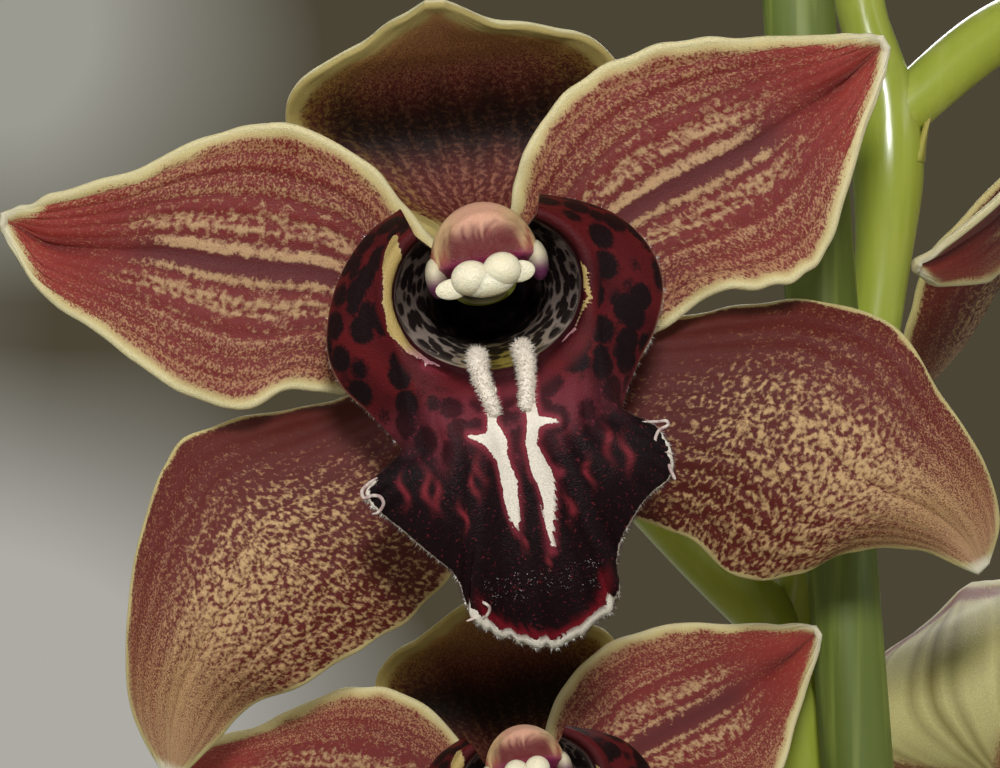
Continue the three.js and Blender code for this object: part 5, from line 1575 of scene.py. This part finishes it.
def make_leaves(sizes, tones):
    """The fans: two ranks of leaves from a flattened neck of folded leaf bases on each bulb."""
    skin = leaf_look(tones)
    for k, (at, fan, (long, _, height), reach, seed) in enumerate(SHOOTS):
        draw = seeded(seed)
        heading = math.radians(fan)
        across = np.array([-math.sin(heading), math.cos(heading)])
        floor = MIX_TOP + BULB_CUT * height + SEAT_GAP
        z = np.linspace(floor, floor + FAN_NECK, 26)[:, None]
        share = (z - floor) / FAN_NECK
        angle = np.linspace(0, TAU, 40, endpoint=False)[None, :]
        radius = mix(0.56 * long, 0.3 * long, share) * (1 + 0.05 * np.cos(5 * angle + k))
        x, y = 0.55 * radius * np.cos(angle), radius * np.sin(angle)
        co, faces = loft(placed(x, y, z, heading, at))
        turn = np.concatenate([np.broadcast_to(angle, x.shape).ravel(), [0, 0]])
        place = np.stack([co[:, 2], turn * 12, np.full(len(co), 3.0 * k)], -1)
        parts = [part(co, faces, pale=np.full((len(co), 3), 0.45), cover=0.0, skin=place)]
        for i in range(LEAVES_A_FAN):
            rank = 2 * i / (LEAVES_A_FAN - 1) - 1
            outer = abs(rank)
            turn_by = math.radians(LEAF_SPREAD * rank + mix(-4, 4, next(draw)))
            length = (reach * mix(1, 0.8, outer) - LEAF_EASE) * mix(0.92, 1.04, next(draw))
            width = sizes.leaf_width / MM * mix(0.9, 1.05, next(draw))
            lean = mix(1.36, 1.2, outer) + mix(-0.04, 0.04, next(draw))
            droop = mix(-0.8, -1.25, next(draw))
            sway = 0.1 * rank + mix(-0.14, 0.14, next(draw))
            # the leaves of a fan stand 3.5 mm apart at their roots, 3 mm up the neck
            root = [at[0] + 7 * rank * across[0], at[1] + 7 * rank * across[1], floor + 3]
            parts.append(leaf_blade(
                root, heading + turn_by, length, width, lean, droop, sway, sizes.leaf / MM, 5 * k + i
            ))
        make_piece(f"orchid_leaf_fan_{k + 1}", parts, [skin], [f"leaf_fan_{k + 1}"])


# Stake, ties, pot and growing mix


def make_stake(sizes, tones):
    """The stake: a straight coated tube, rounded over at its top, and the ties that hold the stem."""
    low, high = np.array(STAKE_FOOT, float), np.array(STAKE_TOP, float)
    straight = 60
    crowded = 1 - 0.015 * np.cos(np.linspace(0.2, math.pi / 2, 10))
    s = np.concatenate([np.linspace(0, 0.985, straight), crowded])
    radius = np.full(len(s), sizes.stake / MM)
    end = ((s[straight:] - 0.993) / 0.007).clip(0, 1)
    radius[straight:] *= np.sqrt(np.clip(1 - end**2, 0.02, 1))
    co, faces = tube(low + (high - low) * s[:, None], radius, 28)
    make_piece("orchid_stake", [part(co, faces)], [stake_look(tones)], ["stake"])
    look = tie_look()
    for k, z in enumerate(TIE_HEIGHTS):
        stake = low + (high - low) * ((z - low[2]) / (high[2] - low[2]))
        co, faces = tie_loop(stake, spike_at(float(z)), sizes.stake / MM + SEAT_GAP)
        make_piece(f"orchid_tie_{k + 1}", [part(co, faces)], [look], [f"tie_{k + 1}"])


def tie_loop(stake, stem, inner):
    """A tie: a band with rounded edges carried round a loop, which is a half circle of the inner
    radius about the stake on one side and about the stem on the other, joined by straight runs."""
    gap = stem[:2] - stake[:2]
    heading, reach = math.atan2(gap[1], gap[0]), float(np.linalg.norm(gap))
    around = np.linspace(0, TAU, 96, endpoint=False)[:, None]
    section = np.linspace(0, TAU, 20, endpoint=False)
    boxy = lambda wave: np.sign(wave) * np.abs(wave) ** 0.4
    out = inner + TIE_WALL / 2 + TIE_WALL / 2 * boxy(np.cos(section))
    rise = TIE_HALF_HEIGHT * boxy(np.sin(section))
    x = np.where(np.cos(around) >= 0, reach, 0.0) + out * np.cos(around)
    loop = placed(x, out * np.sin(around), stake[2] + rise, heading, stake)
    rows, cols = loop.shape[:2]
    return loop, quads(rows + 1, cols, wrap=True) % (rows * cols)


def pot_radius(z, sizes):
    """The pot's outer radius under its rim, which tapers straight down to its foot."""
    return mix(sizes.pot_foot / MM, sizes.pot_top / MM, z / (sizes.pot_height / MM))


def pot_profile(sizes):
    """The points of the pot's wall, radius and height, from the middle of its underside out, up
    over its rim and down its inside. Long runs are cut in six, for even faces."""
    high, top, foot, wall = (
        x / MM for x in (sizes.pot_height, sizes.pot_top, sizes.pot_foot, sizes.pot_wall)
    )
    rim = high - RIM_HEIGHT
    under, over, floor = (pot_radius(z, sizes) for z in (rim, rim + 5, wall))
    line = np.array([
        [foot - 1, 0], [foot + 0.2, 1], [under - 0.2, rim - 0.5], [under + 0.6, rim + 0.3],
        [top + 3, rim + 0.8], [top + 3.7, rim + 2], [top + 4.8, high - 1.2], [top + 4.5, high - 0.2],
        [top + 3.8, high], [top + 3, high - 0.2], [top + 2.5, high - 1], [over - wall, rim + 5],
        [floor - wall + 0.3, wall + 1], [floor - wall - 1, wall],
    ])
    long = np.linalg.norm(np.diff(line, axis=0), axis=1) > 8
    runs = [
        np.linspace(a, b, 6, endpoint=False) if cut else a[None] for a, b, cut in zip(line, line[1:], long)
    ]
    return np.concatenate([*runs, line[-1:]])


def loose(name, shape):
    """An object beside the pieces, from its points in millimetres and its faces."""
    co, faces = shape
    mesh = bpy.data.meshes.new(name)
    mesh.from_pydata((co * MM).tolist(), [], [tuple(dict.fromkeys(face)) for face in faces.tolist()])
    thing = bpy.data.objects.new(name, mesh)
    bpy.context.scene.collection.objects.link(thing)
    return thing


def turned_rings(profile, sides):
    """A profile of radii and heights carried round Z: radius x cosine, radius x sine, height."""
    angle = np.linspace(0, TAU, sides, endpoint=False)
    radius, height = np.asarray(profile, float).T[..., None]
    return xyz(radius * np.cos(angle), radius * np.sin(angle), height)


def make_pot(sizes, tones):
    """The pot: its wall's profile carried round, and drain holes cut through its floor."""
    co, faces = loft(turned_rings(pot_profile(sizes), 144))
    piece = make_piece("orchid_pot", [part(co, faces)], [pot_look(tones)], ["pot"])
    count, ring, radius = DRAIN_HOLES["count"], DRAIN_HOLES["ring"], DRAIN_HOLES["radius"]
    points, cells, done = [], [], 0
    for i in range(count):
        a = TAU * (i + 0.5) / count
        # each hole is drilled from 2 mm under the pot to well inside it
        path = np.array([[ring * math.cos(a), ring * math.sin(a), h] for h in (-2, 1, 5)], float)
        bit = part(*tube(path, [radius] * len(path), 24))
        points.append(bit["co"])
        cells.append(bit["faces"] + done)
        done += len(bit["co"])
    drill = loose("drill", (np.concatenate(points), np.concatenate(cells)))
    cut = piece.modifiers.new("drain_holes", "BOOLEAN")
    cut.operation, cut.solver, cut.object = "DIFFERENCE", "EXACT", drill
    bpy.context.view_layer.update()
    holed = bpy.data.meshes.new_from_object(piece.evaluated_get(bpy.context.evaluated_depsgraph_get()))
    piece.modifiers.clear()
    piece.data = holed
    bpy.data.objects.remove(drill)


CHIP_SIZES = [(5.5, 12.5), (4, 8), (2.2, 4.6)]  # the least and most half length, width and height
CHIPS_KEEP_OFF = [[39, 2, 11], [17, 25, 12]]  # place and reach: the stake, the stem's root


def spun(points, i, j, angles):
    """Each row of points turned by its own angle in the plane of axes i and j."""
    c, s = np.cos(angles)[:, None], np.sin(angles)[:, None]
    out = points.copy()
    out[..., i] = points[..., i] * c - points[..., j] * s
    out[..., j] = points[..., i] * s + points[..., j] * c
    return out


def chip_shape():
    """One chip: a box whose faces bulge, made by lowering the powers of an egg's sines and cosines."""
    polar = np.linspace(0.15, math.pi - 0.15, 6)[:, None]
    turn = np.linspace(0, TAU, 8, endpoint=False)[None, :]
    power = lambda w, n: np.sign(w) * np.abs(w) ** n
    out, up = power(np.sin(polar), 0.4), power(np.cos(polar), 0.5)
    shape = xyz(power(np.cos(turn), 0.5) * out, power(np.sin(turn), 0.5) * out, up)
    return loft(shape[::-1])


def make_mix(sizes, tones):
    """The growing mix: a body of bark that fills the pot, its top uneven, under loose chips, which
    are spread in a spiral and turned and sized by seeded numbers."""
    rng = np.random.default_rng(41)
    wall = sizes.pot_wall / MM
    inner = lambda z: pot_radius(z, sizes) - wall - SEAT_GAP
    low, top = wall + SEAT_GAP, MIX_TOP - 4
    rows = [(inner(low) - 1, low), (inner(low), low + 1), (inner(top) - 0.5, top - 2)]
    side = len(rows)
    rings = turned_rings(rows + [(r, top) for r in np.linspace(inner(top) - 2, 2, 26)], 120)
    x, y = rings[side:, :, 0], rings[side:, :, 1]
    rings[side:, :, 2] += 1.6 * waves(x * 0.22 + 3 * np.sin(y * 0.11), 1, 5)
    rings[side:, :, 2] += 1.2 * waves(y * 0.3 - x * 0.1, 2, 5)
    bed = part(*loft(rings), ground=np.array(tones.bark) * 0.5)
    count = sizes.chips
    about = np.arange(count) * math.pi * (3 - math.sqrt(5)) + rng.uniform(-0.2, 0.2, count)
    radius = (inner(MIX_TOP) - 9) * np.sqrt((np.arange(count) + 0.5) / count)
    size = np.stack([rng.uniform(*span_of, count) for span_of in CHIP_SIZES], -1)
    place = xyz(radius * np.cos(about), radius * np.sin(about), top + rng.uniform(0.5, 4.5, count))
    keep_off = [[*s[0], s[2][0] * 0.95 + 2] for s in SHOOTS + [BACK_BULB]] + CHIPS_KEEP_OFF
    away = [np.hypot(place[:, 0] - px, place[:, 1] - py) > gap for px, py, gap in keep_off]
    spin, lean, tip = rng.uniform(0, TAU, count), rng.normal(0, 0.3, count), rng.normal(0, 0.3, count)
    chip, faces = chip_shape()
    chips = chip[None] * (1 + rng.normal(0, 0.09, (count, len(chip), 3))) * size[:, None]
    chips = spun(spun(spun(chips, 1, 2, lean), 0, 2, tip), 0, 1, spin)
    chips = (chips + place[:, None])[np.all(away, axis=0)]
    faces = (faces[None] + (np.arange(len(chips)) * len(chip))[:, None, None]).reshape(-1, 4)
    tone_of = washes(np.array(tones.bark) * 0.55, ("#9a6c48", rng.uniform(0, 1, len(chips)) ** 1.5))
    loose_chips = part(chips, faces, ground=np.repeat(tone_of, len(chip), 0))
    make_piece("orchid_growing_mix", [bed, loose_chips], [bark_look(tones)], ["growing_mix"])


# The stage


FLOOR = {"radius": 5400, "thick": 40, "sunk": 0.05}  # its top lies just under the pot (mm)
LAMPS = {  # place and aim in metres, size in metres, power in watts
    "key_softbox": ((-0.02, -0.62, 0.79), (-0.037, -0.03, 0.59), 0.10, 2.75),
    "left_softbox": ((-1.6, -1.0, 1.5), (0, 0, 0.45), 1.2, 13.0),
    "right_softbox": ((1.7, -0.7, 1.3), (0, 0, 0.45), 1.2, 7.0),
    "rear_softbox": ((0.3, 1.9, 1.6), (0, 0, 0.45), 1.4, 26.0),
}
BACKDROP = "#a3a198"
SHADES = [  # way to the middle as x and z, inner and outer reach, colour
    ((0.04, 0.0), 0.16, 0.34, "#4b4536"), ((-0.125, 0.09), 0.02, 0.075, "#9c9b91"),
    ((-0.125, -0.1), 0.05, 0.115, "#adaba4"),
]


def make_floor():
    """The floor: a low round board, kept out of the part."""
    edge, thick, top = FLOOR["radius"], FLOOR["thick"], -FLOOR["sunk"]
    profile = [(1, -thick), (edge - 20, -thick), (edge, -thick / 2)]
    profile += [(r, top) for r in (edge - 20, 2600, 900, 1)]
    floor = loose("floor", loft(turned_rings(profile, 128)))
    floor.data.materials.append(floor_look())


def make_backdrop():
    """The world: the camera sees a grey that falls into shade behind the flower, with two paler
    patches on its left, all out of focus. Everything else is lit by a faint even grey."""
    world = bpy.data.worlds.new("studio")
    world.use_nodes = True
    tree = world.node_tree
    tree.nodes.clear()
    way = add(tree, "TexCoord").outputs["Generated"]
    cloud = add(tree, "TexNoise", {"Vector": way, "Scale": 14.0, "Detail": 0.0})
    drift = 0.03  # how far the cloud pushes the shades' edges about
    colour = BACKDROP
    for (x, z), near, far, shade in SHADES:
        gap = add(tree, "VectorMath", {0: way, 1: (x, 0.99, z)}, operation="DISTANCE")
        gap = add(tree, "Math", {0: cloud, 1: drift, 2: gap}, operation="MULTIPLY_ADD")
        cut = ((near + far + drift) / 2, -(far - near) / 2)
        colour = coats(tree, colour, (gap, cut, shade))
    seen = add(tree, "Background", {"Color": colour, "Strength": 1.0})
    fill = add(tree, "Background", {"Color": "#c9c8c4", "Strength": 0.14})
    sight = add(tree, "LightPath").outputs["Is Camera Ray"]
    add(tree, "OutputWorld", {"Surface": add(tree, "MixShader", {0: sight, 1: fill, 2: seen})})
    bpy.context.scene.world = world


def make_stage(sizes, tones):
    """A pale round floor, a soft lamp just over the lens, broad soft lamps about, a plain grey
    backdrop and the camera. It takes sizes and colours as every maker does, and uses none."""
    make_floor()
    make_backdrop()
    scene = bpy.context.scene
    for name, (at, aim, size, power) in LAMPS.items():
        light = bpy.data.lights.new(name, "AREA")
        light.shape, light.size, light.energy = "DISK", size, power
        lamp = bpy.data.objects.new(name, light)
        lamp.location = at
        lamp.rotation_euler = (Vector(aim) - Vector(at)).to_track_quat("-Z", "Y").to_euler()
        lamp.visible_camera = False
        scene.collection.objects.link(lamp)
    scene.view_settings.view_transform = "Standard"
    lens = bpy.data.cameras.new("camera")
    lens.sensor_width, lens.lens = 36, CAMERA_LENS
    lens.clip_start, lens.clip_end = 0.05, 60
    camera = bpy.data.objects.new("camera", lens)
    camera.location = [c * MM for c in CAMERA_AT]
    camera.rotation_euler = (math.pi / 2, 0, 0)
    scene.collection.objects.link(camera)
    scene.camera = camera


# The add-on


def operator(label, note, make):
    """An operator, named after its maker, that makes one group of pieces from the scene's sizes and
    colours, which every maker takes. A maker that can't finish raises an error."""
    key = make.__name__.removeprefix("make_")

    def execute(self, context):
        make(context.scene.orchid_sizes, context.scene.orchid_colours)
        return {"FINISHED"}

    body = {
        "__doc__": note, "bl_idname": f"orchid.{key}", "bl_label": label, "bl_options": {"REGISTER"},
        "execute": execute,
    }
    return type(f"ORCHID_OT_{key}", (bpy.types.Operator,), body)


STEPS = [
    operator("Stage", "Make the floor, lamps, backdrop and camera", make_stage),
    operator("Best bloom", "Make the bloom that faces the camera", make_main_bloom),
    operator("Other blooms", "Make the eight blooms behind it", make_other_blooms),
    operator("Flower stem", "Make the stem, its stalks, bracts and sheaths", make_spike),
    operator("Buds", "Make the three closed buds", make_buds),
    operator("Stake and ties", "Make the stake and the two ties", make_stake),
    operator("Leaves", "Make the five fans of leaves", make_leaves),
    operator("Pseudobulbs", "Make the bulbs the leaves grow from", make_bulbs),
    operator("Growing mix", "Make the bark that fills the pot", make_mix),
    operator("Pot", "Make the moulded pot", make_pot),
]


class ORCHID_PT_pieces(bpy.types.Panel):
    """Lists the orchid's pieces with their sizes and colours"""

    bl_idname = "ORCHID_PT_pieces"
    bl_label = "Potted Cymbidium"
    bl_space_type = "VIEW_3D"
    bl_region_type = "UI"
    bl_category = "Orchid"

    def draw(self, context):
        for each in STEPS:
            self.layout.operator(each.bl_idname)
        for group in (context.scene.orchid_sizes, context.scene.orchid_colours):
            box = self.layout.box()
            for key in group.bl_rna.properties.keys():
                if key not in ("rna_type", "name"):
                    box.prop(group, key)


CLASSES = [OrchidSizes, OrchidColours, *STEPS, ORCHID_PT_pieces]


def register():
    for each in CLASSES:
        bpy.utils.register_class(each)
    bpy.types.Scene.orchid_sizes = PointerProperty(type=OrchidSizes)
    bpy.types.Scene.orchid_colours = PointerProperty(type=OrchidColours)


def unregister():
    del bpy.types.Scene.orchid_colours
    del bpy.types.Scene.orchid_sizes
    for each in reversed(CLASSES):
        bpy.utils.unregister_class(each)


def main():
    register()
    for each in STEPS:
        getattr(bpy.ops.orchid, each.bl_idname.removeprefix("orchid."))()
    bpy.context.view_layer.update()


if __name__ == "__main__":
    main()
